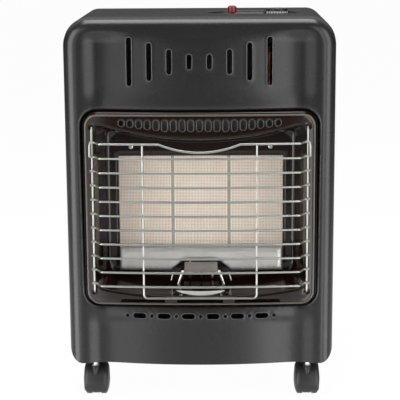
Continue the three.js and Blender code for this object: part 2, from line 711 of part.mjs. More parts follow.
const coverPanel = {
  half: HALF_WIDTH,
  low: COVER_BOTTOM,
  high: CABINET_TOP,
  lowCorner: BOTTOM_CORNER,
  highCorner: TOP_CORNER,
  roll: EDGE_ROLL,
  depthAt: coverDepthAt,
  columns: [0, 0.33, 0.67, 1].map((share) => share * (GROOVE_AT - GROOVE_RISE)).concat(
    [0.5, 1].map((share) => GROOVE_AT - GROOVE_RISE * (1 - share)),
    [0.33, 0.67, 1].map((share) => GROOVE_AT + (LAND_AT - GROOVE_AT) * share),
    rollPlaces(HALF_WIDTH, EDGE_ROLL, 3),
  ),
  rows: [
    ...rollPlaces(-COVER_BOTTOM, BOTTOM_CORNER, 3).map((z) => -z).reverse(),
    (COVER_BOTTOM + CABINET_TOP) / 2,
    ...[0, 0.5].map((share) => CABINET_TOP - TOP_CORNER - (FLUTE_FADE_LOW - FLUTE_FADE_HIGH) * (0.5 - share)),
    ...rollPlaces(CABINET_TOP, TOP_CORNER, 6),
  ],
};

function frontCover() {
  const outer = pressing({ ...coverPanel, back: COVER_DEPTH }, 0);
  const hollow = pressing({ ...coverPanel, back: COVER_DEPTH + GAP }, SHEET);
  const underside = block(
    [-TRAY_NOSE, TRAY_NOSE],
    [TRAY_FRONT - GAP, COVER_DEPTH + PAST],
    [COVER_BOTTOM - PAST, COVER_BOTTOM + TRAY_LIP],
  );
  return cut(outer, hollow, underside, windowCut(), ...slotCuts(), ...ventCuts());
}
addPiece('front_cover', frontCover(), paint);

// ---------------------------------------------------------------- cabinet wrap
function cabinetWrap() {
  const outer = archOutline(HALF_WIDTH, COVER_BOTTOM, CABINET_TOP, TOP_CORNER);
  const low = COVER_BOTTOM - PAST;
  const inner = archOutline(SKIN, low, WRAP_TOP_INNER, TOP_CORNER - SHEET);
  const mouth = archOutline(HALF_WIDTH - REAR_LIP, low, CABINET_TOP - REAR_LIP, TOP_CORNER - REAR_LIP);
  const opening = stadium(RECESS_X, RECESS_Y, RECESS_LENGTH, RECESS_WIDTH);
  const throughLip = [SIDE_DEPTH - 2 * SHEET, SIDE_DEPTH + PAST];
  const screwSlots = [-1, 1].map((side) => {
    const [wide, tall] = [3 * THUMB_SCREW_RADIUS, 6 * THUMB_SCREW_RADIUS];
    return plateY(stadium(side * THUMB_SCREW_X, THUMB_SCREW_Z, wide, tall), ...throughLip, 2);
  });
  return cut(
    plateY(outer, WRAP_FRONT, SIDE_DEPTH, 4),
    plateY(inner, WRAP_FRONT - PAST, SIDE_DEPTH - SHEET, 4),
    plateY(mouth, WRAP_FRONT - PAST, SIDE_DEPTH + PAST, 4),
    plateZ(opening, WRAP_TOP_INNER - PAST, CABINET_TOP + PAST, 4),
    block([-SKIN, SKIN], throughLip, [low, COVER_BOTTOM + TRAY_LIP + GAP]),
    ...screwSlots,
  );
}
addPiece('cabinet_wrap', cabinetWrap(), paint);

// ---------------------------------------------------------------- base tray
// The tray is wide inside the cabinet and narrower behind it, where the rear cover closes round it.
function trayOutline(inset) {
  const [wide, narrow] = [SKIN - GAP - inset, PAN_HALF - SHEET - GAP - inset];
  const [front, step, rear] = [WRAP_FRONT + inset, SIDE_DEPTH - inset, PAN_BACK - SHEET - GAP - inset];
  const corner = TRAY_REAR_CORNER;
  const midway = corner * (1 - Math.SQRT1_2);
  return polygon([
    [-wide, front], [wide, front], [wide, step], [narrow, step],
    [narrow, rear - corner], [narrow - midway, rear - midway], [narrow - corner, rear],
    [-narrow + corner, rear], [-narrow + midway, rear - midway], [-narrow, rear - corner],
    [-narrow, step], [-wide, step],
  ]);
}

function casterPlaces() {
  return [
    ['front_left', -CASTER_X, FRONT_CASTER_Y], ['front_right', CASTER_X, FRONT_CASTER_Y],
    ['rear_left', -REAR_CASTER_X, REAR_CASTER_Y], ['rear_right', REAR_CASTER_X, REAR_CASTER_Y],
  ];
}

// Two ledges behind the tray carry the rear cover and are the edge it tilts on.
function baseTray() {
  const high = COVER_BOTTOM + TRAY_LIP;
  const nose = (inset, low) => block(
    [-TRAY_NOSE + inset, TRAY_NOSE - inset], [TRAY_FRONT + inset, WRAP_FRONT + 2 * SHEET], [low, high]);
  const pan = join(plateZ(trayOutline(0), COVER_BOTTOM, high), nose(0, COVER_BOTTOM));
  const hollow = join(plateZ(trayOutline(SHEET), TRAY_FLOOR, high + PAST), nose(SHEET, TRAY_FLOOR));
  const throughFloor = [COVER_BOTTOM - PAST, TRAY_FLOOR + PAST];
  const stemHoles = casterPlaces().map(([, x, y]) => (
    bar('z', STEM_RADIUS + GAP, throughFloor, [x, y, 0], 12)));
  const airSlots = [-1, 0, 1].map((i) => {
    const outline = stadium(i * AIR_SLOT_PITCH, AIR_SLOT_Y, AIR_SLOT_LENGTH, AIR_SLOT_WIDTH);
    return plateZ(outline, ...throughFloor, 2);
  });
  const ledges = [-1, 1].map((side) => block(
    [side * LEDGE_X - LEDGE_LENGTH / 2, side * LEDGE_X + LEDGE_LENGTH / 2],
    [PAN_BACK - 5 * SHEET, PAN_BACK - GAP],
    [COVER_BOTTOM - GAP - SHEET, COVER_BOTTOM - GAP],
  ));
  const risers = [-1, 1].map((side) => block(
    [side * LEDGE_X - LEDGE_LENGTH / 2, side * LEDGE_X + LEDGE_LENGTH / 2],
    [PAN_BACK - 5 * SHEET, PAN_BACK - 2 * SHEET],
    [COVER_BOTTOM - GAP - SHEET, TRAY_FLOOR],
  ));
  return cut(join(pan.subtract(hollow), ...ledges, ...risers), ...stemHoles, ...airSlots);
}
addPiece('base_tray', baseTray(), paint);

// ---------------------------------------------------------------- bulkhead
// A heat shield between the burner and the cylinder, with a flange at each side and four pipe holes.
function bulkhead() {
  const half = SKIN - GAP;
  const low = TRAY_FLOOR + GAP;
  const outline = archOutline(half, low, BULKHEAD_TOP, TOP_CORNER - SHEET - GAP);
  const sheet = plateY(outline, BULKHEAD_AT, BULKHEAD_AT + SHEET);
  const atSide = (side, inner, outer) => (side < 0 ? [-outer, -inner] : [inner, outer]);
  const flangeBack = BULKHEAD_AT + BULKHEAD_FLANGE;
  const flanges = [-1, 1].map((side) => (
    block(atSide(side, half - SHEET, half), [BULKHEAD_AT, flangeBack], [low, BULKHEAD_TOP - TOP_CORNER])));
  const throughSheet = [BULKHEAD_AT - PAST, BULKHEAD_AT + SHEET + PAST];
  const holes = [
    [MAIN_PIPE_X, MAIN_PIPE_Z, PIPE], [PILOT_PIPE_X, PILOT_PIPE_Z, PILOT_PIPE],
    [SENSOR_LEAD_X, SENSOR_LEAD_Z, THERMOCOUPLE_LEAD], [-PILOT_SPACING, SPARK_LEAD_Z, LEAD],
  ].map(([x, z, diameter]) => bar('y', diameter / 2 + 2 * GAP, throughSheet, [x, 0, z], 12));
  const besideTray = [-1, 1].map((side) => block(
    atSide(side, half - SHEET - GAP, half + PAST),
    [BULKHEAD_AT - PAST, flangeBack + PAST],
    [COVER_BOTTOM, COVER_BOTTOM + TRAY_LIP + GAP],
  ));
  return cut(join(sheet, ...flanges), ...besideTray, ...holes);
}
addPiece('bulkhead', bulkhead(), darkSteel);

// ---------------------------------------------------------------- rear cover
const panLow = COVER_BOTTOM - PAN_CORNER - 2 * SHEET; // the pan's rounded foot is cut off below the cover

const panPanel = {
  half: PAN_HALF,
  low: panLow,
  high: PAN_TOP,
  lowCorner: PAN_CORNER,
  highCorner: PAN_CORNER,
  roll: PAN_ROLL,
  facing: -1,
  depthAt: () => -PAN_BACK,
  columns: [0, ...rollPlaces(PAN_HALF, PAN_ROLL, 3)],
  rows: [panLow, panLow + PAN_CORNER, ...rollPlaces(PAN_TOP, PAN_CORNER, 5)],
};

// A deep pan with a rim that closes the cabinet's rear; its foot is open where the tray fills it.
function rearCover() {
  const pan = pressing({ ...panPanel, back: -PAN_FRONT }, 0);
  const hollow = pressing({ ...panPanel, back: -PAN_FRONT + PAST }, SHEET);
  const rimOutline = archOutline(HALF_WIDTH, COVER_BOTTOM, CABINET_TOP - 2 * SHEET, TOP_CORNER);
  const rim = plateY(rimOutline, PAN_FRONT, PAN_FRONT + SHEET, 4);
  const below = block(
    [-HALF_WIDTH, HALF_WIDTH], [PAN_FRONT - 2 * PAST, PAN_BACK + PAST], [panLow - PAST, COVER_BOTTOM]);
  const louvres = [];
  for (let row = 0; row < LOUVRE_ROWS; row += 1) {
    const z = LOUVRE_TOP - row * LOUVRE_PITCH;
    for (const side of [-1, 1]) {
      const x = side * LOUVRE_X;
      const span = [x - LOUVRE_LENGTH / 2, x + LOUVRE_LENGTH / 2];
      const heights = [z - LOUVRE_GAP / 2, z + LOUVRE_GAP / 2];
      louvres.push(block(span, [PAN_BACK - 2 * SHEET, PAN_BACK + PAST], heights));
    }
  }
  const throughRim = [PAN_FRONT - PAST, PAN_FRONT + SHEET + PAST];
  const screwHoles = [-1, 1].map((side) => (
    bar('y', THUMB_SCREW_RADIUS + GAP, throughRim, [side * THUMB_SCREW_X, 0, THUMB_SCREW_Z], 12)));
  return cut(join(pan, rim), hollow, below, ...louvres, ...screwHoles);
}
addPiece('rear_cover', rearCover(), paint);

function thumbScrew(side) {
  const seat = PAN_FRONT + SHEET + GAP;
  const place = [side * THUMB_SCREW_X, 0, THUMB_SCREW_Z];
  return join(
    bar('y', THUMB_SCREW_RADIUS, [SIDE_DEPTH - THUMB_SCREW_REACH, seat + PAST], place, 12),
    bar('y', THUMB_HEAD_RADIUS, [seat, seat + THUMB_HEAD_LENGTH], place, 20),
  );
}
addPiece('thumb_screw_left', thumbScrew(-1), blackPlastic);
addPiece('thumb_screw_right', thumbScrew(1), blackPlastic);

// ---------------------------------------------------------------- bezel
const BEZEL_HALF = WINDOW_HALF_BOTTOM - BEZEL_MARGIN;
const BEZEL_LEAN = (WINDOW_HALF_TOP - WINDOW_HALF_BOTTOM) / (WINDOW_TOP - WINDOW_BOTTOM);
const BEZEL_TOP = WINDOW_TOP - BEZEL_MARGIN;
const BEZEL_BOTTOM = WINDOW_BOTTOM + BEZEL_MARGIN;
const bezelDepthAt = (x) => -BEZEL_BOW * Math.max(0, 1 - (x / BEZEL_HALF) ** 2);

const bezelPanel = {
  half: BEZEL_HALF,
  low: BEZEL_BOTTOM,
  high: BEZEL_TOP,
  lowCorner: WINDOW_CORNER - BEZEL_MARGIN,
  highCorner: WINDOW_CORNER - BEZEL_MARGIN,
  lean: BEZEL_LEAN,
  roll: BEZEL_ROLL,
  depthAt: bezelDepthAt,
  columns: [0, 0.35, 0.7].map((share) => share * BEZEL_HALF).concat(rollPlaces(BEZEL_HALF, BEZEL_ROLL, 2)),
  rows: [
    ...rollPlaces(-BEZEL_BOTTOM, WINDOW_CORNER - BEZEL_MARGIN, 5).map((z) => -z).reverse(),
    ...rollPlaces(BEZEL_TOP, WINDOW_CORNER - BEZEL_MARGIN, 5),
  ],
};

// The mouth: a sagging upper lip, a lightly dished lower lip and rounded corners, counter-clockwise.
function mouthPoints() {
  const low = (x) => MOUTH_BOTTOM + (x * x) / (2 * MOUTH_BOTTOM_SWEEP);
  const high = (x) => MOUTH_TOP + (x * x) / (2 * MOUTH_TOP_SWEEP);
  const turn = MOUTH_HALF - MOUTH_CORNER;
  const places = Array.from({ length: 9 }, (_, i) => -turn + (2 * turn * i) / 8);
  const corner = (from, at, to) => new THREE.QuadraticBezierCurve(from, at, to).getPoints(3).slice(1, -1);
  const point = (x, z) => new THREE.Vector2(x, z);
  const [foot, head] = [low(MOUTH_HALF), high(MOUTH_HALF)];
  const sideFoot = point(MOUTH_HALF, foot + MOUTH_CORNER);
  const sideHead = point(MOUTH_HALF, head - MOUTH_CORNER);
  const right = [
    ...corner(point(turn, low(turn)), point(MOUTH_HALF, foot), sideFoot),
    sideFoot,
    sideHead,
    ...corner(sideHead, point(MOUTH_HALF, head), point(turn, high(turn))),
  ];
  const left = right.map(({ x, y }) => point(-x, y)).reverse();
  const lower = places.map((x) => point(x, low(x)));
  const upper = places.map((x) => point(-x, high(x)));
  return [...lower, ...right, ...upper, ...left];
}

// The recess at depth y: the mouth drawn in towards the back wall, and grown by the sheet if asked.
function recessRing(y, grow) {
  const share = y / RECESS_DEPTH;
  const narrow = 1 + share * (RECESS_HALF / MOUTH_HALF - 1);
  const floor = MOUTH_BOTTOM + share * RECESS_FLOOR_RISE;
  const roof = MOUTH_TOP - share * RECESS_ROOF_DROP;
  const tall = (roof - floor) / (MOUTH_TOP - MOUTH_BOTTOM);
  return mouthPoints().map((point) => {
    const z = floor + (point.y - MOUTH_BOTTOM) * tall;
    const middle = (floor + roof) / 2;
    const x = point.x * narrow * (1 + grow / RECESS_HALF);
    return new THREE.Vector3(x, y, z + ((z - middle) * grow) / ((roof - floor) / 2));
  });
}

function ventHoles() {
  const holes = [];
  const half = (BEZEL_HOLE_COUNT - 1) / 2;
  for (let i = -half; i <= half; i += 1) {
    const grown = Math.min(1, (half - Math.abs(i)) / BEZEL_HOLE_GROWTH);
    const low = BEZEL_HOLE_TOP - BEZEL_HOLE_SHORT - (BEZEL_HOLE_TALL - BEZEL_HOLE_SHORT) * grown;
    const high = BEZEL_HOLE_TOP;
    const [x, w] = [i * BEZEL_HOLE_PITCH, BEZEL_HOLE_WIDTH / 2];
    const lower = [[x - w, low + w], [x, low], [x + w, low + w]];
    const upper = [[x + w, high - w], [x, high], [x - w, high - w]];
    holes.push(plateY(polygon([...lower, ...upper]), -2 * BEZEL_BOW, BEZEL_FLANGE_AT));
  }
  return holes;
}

function bezel() {
  const shellBack = BEZEL_FLANGE_AT + THIN_SHEET;
  const shell = pressing({ ...bezelPanel, back: shellBack }, 0);
  const hollow = pressing({ ...bezelPanel, back: shellBack + PAST }, THIN_SHEET);
  const reach = BEZEL_HALF + BEZEL_LEAN * (BEZEL_TOP - BEZEL_BOTTOM) + BEZEL_FLANGE;
  const [flangeLow, flangeHigh] = [BEZEL_BOTTOM - BEZEL_FLANGE, BEZEL_TOP + BEZEL_FLANGE];
  const flangeOutline = roundedBox(-reach, reach, flangeLow, flangeHigh, WINDOW_CORNER + BEZEL_FLANGE);
  const flange = plateY(flangeOutline, BEZEL_FLANGE_AT, shellBack, 4);
  const lobe = pressing({ ...bezelPanel, back: BEZEL_REAR + PAST }, 0);
  const flat = mouthPoints();
  const ahead = -2 * BEZEL_BOW;
  const cup = loft(recessRing(ahead, THIN_SHEET), recessRing(BEZEL_REAR, THIN_SHEET), flat).intersect(lobe);
  const scoop = loft(recessRing(ahead, 0), recessRing(RECESS_DEPTH, 0), flat);
  const beyond = BURNER_MARGIN - PLAQUE_COVERED; // the opening's edge past the plaques' own
  const throughBack = [RECESS_DEPTH - PAST, BEZEL_REAR + PAST];
  const opening = block(
    [-PLAQUES_HALF - beyond, PLAQUES_HALF + beyond],
    throughBack,
    [PLAQUE_BOTTOM - beyond, PLAQUE_TOP + beyond],
  );
  const slots = BEZEL_SLOTS.map(([left, right]) => {
    const [middle, height] = [(left + right) / 2, (BEZEL_SLOT_TOP + BEZEL_SLOT_BOTTOM) / 2];
    const outline = stadium(middle, height, right - left, BEZEL_SLOT_TOP - BEZEL_SLOT_BOTTOM);
    return plateY(outline, ahead, BEZEL_FLANGE_AT, 1);
  });
  const throughFace = [ahead, BEZEL_FLANGE_AT + 4 * THIN_SHEET];
  const tails = [-1, 1].flatMap((side) => [ROD_TOP, ROD_BOTTOM].map((z) => (
    bar('y', WIRE * Math.SQRT1_2 + GAP, throughFace, [side * ROD_X, 0, z], 12))));
  const backHoles = [
    ...[-1, 1].map((side) => [side * SCREW_X, SCREW_Z, 2 * SCREW_RADIUS]),
    [PILOT_SPACING, LEAD_Z, PILOT_PIPE], [0, LEAD_Z, THERMOCOUPLE_LEAD], [-PILOT_SPACING, LEAD_Z, LEAD],
  ].map(([x, z, diameter]) => bar('y', diameter / 2 + GAP, throughBack, [x, 0, z], 12));
  const sheet = join(cut(join(shell, flange), hollow), cup);
  return cut(sheet, scoop, opening, ...ventHoles(), ...slots, ...tails, ...backHoles);
}
addPiece('bezel', bezel(), enamel);

function burnerScrew(side) {
  const place = [side * SCREW_X, 0, SCREW_Z];
  const seat = RECESS_DEPTH - GAP;
  return join(
    bar('y', SCREW_RADIUS, [seat - PAST, PLAQUE_AT + 3 * HOUSING_WALL], place, 12),
    bar('y', 2 * SCREW_RADIUS, [seat - SCREW_RADIUS, seat], place, 16),
  );
}
addPiece('burner_screw_left', burnerScrew(-1), zinc);
addPiece('burner_screw_right', burnerScrew(1), zinc);

// ---------------------------------------------------------------- burner
const plaquePlaces = [['left', -PLAQUE_PITCH], ['centre', 0], ['right', PLAQUE_PITCH]];

function screwHolesThrough(y0, y1) {
  return [-1, 1].map((side) => bar('y', SCREW_RADIUS + GAP, [y0, y1], [side * SCREW_X, 0, SCREW_Z], 12));
}

function burnerFrame() {
  const [y0, y1] = [FRAME_AT, FRAME_AT + THIN_SHEET];
  const seen = PLAQUES_HALF - PLAQUE_COVERED;
  const seenHeights = [PLAQUE_BOTTOM + PLAQUE_COVERED, PLAQUE_TOP - PLAQUE_COVERED];
  return cut(
    block([-HOUSING_HALF, HOUSING_HALF], [y0, y1], [HOUSING_BOTTOM, HOUSING_TOP + HOUSING_EAR]),
    block([-seen, seen], [y0 - PAST, y1 + PAST], seenHeights),
    ...screwHolesThrough(y0 - PAST, y1 + PAST),
  );
}
addPiece('burner_frame', burnerFrame(), stainless);

for (const [side, x] of plaquePlaces) {
  const span = [x - PLAQUE_WIDTH / 2, x + PLAQUE_WIDTH / 2];
  const plaque = block(span, [PLAQUE_AT, PLAQUE_AT + PLAQUE_DEPTH], [PLAQUE_BOTTOM, PLAQUE_TOP]);
  addPiece(`plaque_${side}`, plaque, ceramic);
}

// A box with a pocket for each plaque, a gas chamber behind each, and a mixing neck below each.
function burnerHousing() {
  const [y0, y1] = [PLAQUE_AT, HOUSING_BACK];
  const ledgeAt = PLAQUE_AT + PLAQUE_DEPTH + GAP;
  const across = [-HOUSING_HALF, HOUSING_HALF];
  const body = block(across, [y0, y1], [HOUSING_BOTTOM, HOUSING_TOP]);
  const ear = block(across, [y0, y0 + HOUSING_WALL], [HOUSING_TOP - PAST, HOUSING_TOP + HOUSING_EAR]);
  const neckFoot = HOUSING_BOTTOM - NECK_LENGTH;
  const neckAt = (x, radius, span) => bar('z', radius, span, [x, NECK_Y, 0], 12);
  const necks = plaquePlaces.map(([, x]) => neckAt(x, NECK_RADIUS, [neckFoot, HOUSING_BOTTOM + PAST]));
  const boreSpan = [neckFoot - PAST, PLAQUE_BOTTOM + LEDGE + PAST];
  const bores = plaquePlaces.map(([, x]) => neckAt(x, NECK_BORE, boreSpan));
  const pockets = plaquePlaces.flatMap(([, x]) => {
    const [wide, narrow] = [PLAQUE_WIDTH / 2 + GAP, PLAQUE_WIDTH / 2 - LEDGE];
    return [
      block([x - wide, x + wide], [y0 - PAST, ledgeAt], [PLAQUE_BOTTOM - GAP, PLAQUE_TOP + GAP]),
      block([x - narrow, x + narrow], [y0, y1 - HOUSING_WALL], [PLAQUE_BOTTOM + LEDGE, PLAQUE_TOP - LEDGE]),
    ];
  });
  const screwHoles = screwHolesThrough(y0 - PAST, y0 + HOUSING_WALL + PAST);
  return cut(join(body, ear, ...necks), ...pockets, ...bores, ...screwHoles);
}
addPiece('burner_housing', burnerHousing(), aluminium);

// A stainless plate before the plaques' feet, turned back at its lower edge to the recess wall.
function lowerDeflector() {
  const outline = polygon([
    [-DEFLECTOR_HALF, DEFLECTOR_BOTTOM], [-NOTCH_HALF_BOTTOM, DEFLECTOR_BOTTOM], [-NOTCH_HALF_TOP, NOTCH_TOP],
    [NOTCH_HALF_TOP, NOTCH_TOP], [NOTCH_HALF_BOTTOM, DEFLECTOR_BOTTOM], [DEFLECTOR_HALF, DEFLECTOR_BOTTOM],
    [DEFLECTOR_HALF, DEFLECTOR_TOP], [-DEFLECTOR_HALF, DEFLECTOR_TOP],
  ]);
  const returns = [[-DEFLECTOR_HALF, -NOTCH_HALF_BOTTOM], [NOTCH_HALF_BOTTOM, DEFLECTOR_HALF]].map((span) => (
    block(span, [DEFLECTOR_AT, RECESS_DEPTH - GAP], [DEFLECTOR_BOTTOM, DEFLECTOR_BOTTOM + THIN_SHEET])));
  return join(plateY(outline, DEFLECTOR_AT, DEFLECTOR_AT + THIN_SHEET), ...returns);
}
addPiece('lower_deflector', lowerDeflector(), stainless);

// ---------------------------------------------------------------- pilot
function pilotShield() {
  const floor = MOUTH_BOTTOM + (RECESS_FLOOR_RISE * SHIELD_AT) / RECESS_DEPTH + 3 * GAP;
  const back = SHIELD_AT + THIN_SHEET;
  const face = block([-SHIELD_HALF, SHIELD_HALF], [SHIELD_AT, back], [SHIELD_BOTTOM, SHIELD_TOP]);
  const legInner = SHIELD_HALF - SHIELD_LEG;
  const legs = [[-SHIELD_HALF, -legInner], [legInner, SHIELD_HALF]].map((span) => join(
    block(span, [SHIELD_AT, back], [floor, SHIELD_BOTTOM]),
    block(span, [SHIELD_AT - SHIELD_LEG, back], [floor, floor + THIN_SHEET]),
  ));
  return join(face, ...legs);
}
addPiece('pilot_shield', pilotShield(), stainless);

function pilotBracket() {
  const [y0, y1] = [BRACKET_FRONT, RECESS_DEPTH - GAP];
  const [low, high] = [BRACKET_HEIGHT, BRACKET_HEIGHT + THIN_SHEET];
  const holes = [
    [PILOT_SPACING, PILOT_RADIUS], [0, THERMOCOUPLE_RADIUS], [-PILOT_SPACING, ELECTRODE_RADIUS],
  ].map(([x, radius]) => bar('z', radius + GAP, [low - PAST, high + PAST], [x, PILOT_Y, 0], 10));
  const shelf = block([-BRACKET_HALF, BRACKET_HALF], [y0, y1], [low, high]);
  const foot = block([-BRACKET_HALF, BRACKET_HALF], [y1 - THIN_SHEET, y1], [low - BRACKET_FOOT, high]);
  return cut(join(shelf, foot), ...holes);
}
addPiece('pilot_bracket', pilotBracket(), stainless);

// The three stand on the bracket by a collar just above it.
const collarFoot = BRACKET_HEIGHT + THIN_SHEET + GAP;
const collarSpan = [collarFoot, collarFoot + COLLAR_HEIGHT];

function pilotBurner() {
  const place = [PILOT_SPACING, PILOT_Y, 0];
  return join(
    bar('z', PILOT_RADIUS, [PILOT_BOTTOM, PILOT_TOP], place, 10),
    bar('z', PILOT_RADIUS + COLLAR_OUTSET, collarSpan, place, 10),
  );
}
addPiece('pilot_burner', pilotBurner(), brass);

function thermocouple() {
  const place = [0, PILOT_Y, 0];
  const laneY = HOUSING_BACK + THERMOCOUPLE_LEAD + 2 * GAP;
  const sensorPort = [VALVE_LEFT - GAP, KNOB_Y - VALVE_SIZE / 3, SENSOR_LEAD_Z];
  const [behind, below] = [BEZEL_REAR + SENSOR_LANE, LEAD_Z - SENSOR_DIP];
  const route = [
    [0, PILOT_Y, PILOT_BOTTOM + 2 * PAST], [0, PILOT_Y, LEAD_Z], [0, behind, LEAD_Z], [0, behind, below],
    [SENSOR_LEAD_X, behind, below], [SENSOR_LEAD_X, laneY, below], [SENSOR_LEAD_X, laneY, SENSOR_LEAD_Z],
    [SENSOR_LEAD_X, sensorPort[1], SENSOR_LEAD_Z], sensorPort,
  ];
  return join(
    bar('z', THERMOCOUPLE_RADIUS, [PILOT_BOTTOM, PILOT_TOP + SENSOR_RISE], place, 10),
    bar('z', THERMOCOUPLE_RADIUS + COLLAR_OUTSET, collarSpan, place, 10),
    bentBar(roundSection(THERMOCOUPLE_LEAD, 5), route, 4),
  );
}
addPiece('thermocouple', thermocouple(), brass);

function ignitionElectrode() {
  const place = [-PILOT_SPACING, PILOT_Y, 0];
  const ceramicTop = PILOT_TOP - ELECTRODE_DROP;
  return join(
    bar('z', ELECTRODE_RADIUS, [PILOT_BOTTOM, ceramicTop], place, 10),
    bar('z', ELECTRODE_RADIUS + COLLAR_OUTSET, collarSpan, place, 10),
    bar('z', ELECTRODE_RADIUS / 3, [ceramicTop - PAST, ceramicTop + ELECTRODE_TIP], place, 8),
  );
}
addPiece('ignition_electrode', ignitionElectrode(), whiteCeramic);

// ---------------------------------------------------------------- wire guard
const wireEndY = ROD_Y - (WIRE - WELD);

// Depth of a guard wire at x, between its two shoulders.
const wireY = (x) => wireEndY - GUARD_REACH - GUARD_BOW * (1 - (x / WIRE_SHOULDER) ** 2);

function guardWire(index) {
  const z = WIRE_TOP - index * WIRE_PITCH;
  const isTop = index === 0;
  const dip = isTop ? [-DIP_HALF, -DIP_HALF / 2, 0, DIP_HALF / 2, DIP_HALF] : [0];
  const sag = (x) => (isTop ? TOP_WIRE_DIP * Math.max(0, 1 - (x / DIP_HALF) ** 2) : 0);
  const across = [-WIRE_SHOULDER, -HOOP_X, ...dip, HOOP_X, WIRE_SHOULDER];
  const middle = across.map((x) => [x, wireY(x), z - sag(x)]);
  const tail = (side) => [side * WIRE_END, wireEndY, z];
  const step = (side) => [side * WIRE_STEP, wireEndY, z];
  const drop = (side) => [side * WIRE_END, wireEndY, z - WIRE_PITCH];
  const route = [tail(-1), step(-1), ...middle, step(1), tail(1)];
  return bentBar(squareSection(WIRE), isTop ? [drop(-1), ...route, drop(1)] : route, HOOP_CORNER);
}

function wireGuard() {
  const wires = Array.from({ length: WIRE_COUNT }, (_, index) => guardWire(index));
  const inward = BEZEL_FLANGE_AT + 3 * THIN_SHEET;
  const rods = [-1, 1].map((side) => bentBar(squareSection(WIRE), [
    [side * ROD_X, inward, ROD_TOP], [side * ROD_X, ROD_Y, ROD_TOP],
    [side * ROD_X, ROD_Y, ROD_BOTTOM], [side * ROD_X, inward, ROD_BOTTOM],
  ], HOOP_CORNER));
  const hoopY = wireY(HOOP_X) + WIRE - WELD;
  const hoop = bentBar(squareSection(WIRE), [
    [-HOOP_X, hoopY, WIRE_TOP + WELD], [-HOOP_X, hoopY, HOOP_BOTTOM],
    [HOOP_X, hoopY, HOOP_BOTTOM], [HOOP_X, hoopY, WIRE_TOP + WELD],
  ], HOOP_CORNER);
  return join(hoop, ...rods, ...wires);
}
addPiece('wire_guard', wireGuard(), chrome);

// ---------------------------------------------------------------- controls
// A dished panel hung under the top's opening, with holes for the spindle and the igniter.
function controlPanel() {
  const ring = (length, width, z) => stadium(RECESS_X, RECESS_Y, length, width).getPoints(3)
    .slice(0, -1).map((point) => new THREE.Vector3(point.x, point.y, z));
  const flat = (points) => points.map((point) => new THREE.Vector2(point.x, point.y));
  const floor = [RECESS_LENGTH - 2 * DISH_SLOPE, RECESS_WIDTH - 2 * DISH_SLOPE];
  const dish = (grow, high, low) => {
    const top = ring(RECESS_LENGTH + 2 * grow, RECESS_WIDTH + 2 * grow, high);
    return loft(top, ring(floor[0] + 2 * grow, floor[1] + 2 * grow, low), flat(top));
  };
  const lip = stadium(RECESS_X, RECESS_Y, RECESS_LENGTH + 2 * PANEL_LIP, RECESS_WIDTH + 2 * PANEL_LIP);
  const flange = plateZ(lip, PANEL_FLANGE_TOP - SHEET, PANEL_FLANGE_TOP, 3);
  const throughDish = [DISH_UNDERSIDE - PAST, DISH_FLOOR + PAST];
  return cut(
    join(flange, dish(SHEET, PANEL_FLANGE_TOP - SHEET / 2, DISH_UNDERSIDE)),
    dish(0, PANEL_FLANGE_TOP + GAP, DISH_FLOOR),
    bar('z', SPINDLE_RADIUS + GAP, throughDish, [KNOB_X, KNOB_Y, 0], 12),
    bar('z', PIEZO_RADIUS + GAP, throughDish, [BUTTON_X, BUTTON_Y, 0], 16),
  );
}
addPiece('control_panel', controlPanel(), paint);

function controlKnob() {
  const knob = turned([
    [0, SKIRT_BOTTOM], [SKIRT_RADIUS, SKIRT_BOTTOM],
    [SKIRT_RADIUS - KNOB_DRAFT, SKIRT_TOP], [KNOB_RADIUS, SKIRT_TOP],
    [KNOB_RADIUS - KNOB_DRAFT, KNOB_TOP - KNOB_DRAFT],
    [KNOB_RADIUS - 2 * KNOB_DRAFT, KNOB_TOP], [0, KNOB_TOP],
  ], [KNOB_X, KNOB_Y], 24);
  const holeSpan = [SKIRT_BOTTOM - PAST, SPINDLE_TOP + GAP];
  return cut(knob, bar('z', SPINDLE_RADIUS + GAP, holeSpan, [KNOB_X, KNOB_Y, 0], 16));
}
addPiece('control_knob', controlKnob(), blackPlastic);

const plugFloor = VALVE_TOP - PLUG_LENGTH;
const spindleSpan = [plugFloor + PLUG_END + KNOB_TRAVEL + 2 * GAP, SPINDLE_TOP];
addPiece('valve_spindle', bar('z', SPINDLE_RADIUS, spindleSpan, [KNOB_X, KNOB_Y, 0], 16), brass);

addPiece('valve_plug', cut(
  bar('z', PLUG_RADIUS, [plugFloor + GAP, VALVE_TOP], [KNOB_X, KNOB_Y, 0]),
  bar('z', SPINDLE_RADIUS + GAP, [plugFloor + PLUG_END + GAP, VALVE_TOP + PAST], [KNOB_X, KNOB_Y, 0], 16),
), brass);

// The valve hangs from the control panel by its neck.
function gasValve() {
  const half = VALVE_SIZE / 2;
  const [across, along] = [[KNOB_X - half, KNOB_X + half], [KNOB_Y - half, KNOB_Y + half]];
  const body = block(across, along, [VALVE_BOTTOM, VALVE_TOP]);
  const neckSpan = [VALVE_TOP - PAST, DISH_UNDERSIDE - GAP];
  const neck = bar('z', PLUG_RADIUS + 2 * SHEET, neckSpan, [KNOB_X, KNOB_Y, 0]);
  const bore = bar('z', PLUG_RADIUS + GAP, [plugFloor, DISH_UNDERSIDE], [KNOB_X, KNOB_Y, 0]);
  return cut(join(body, neck), bore);
}
addPiece('gas_valve', gasValve(), aluminium);

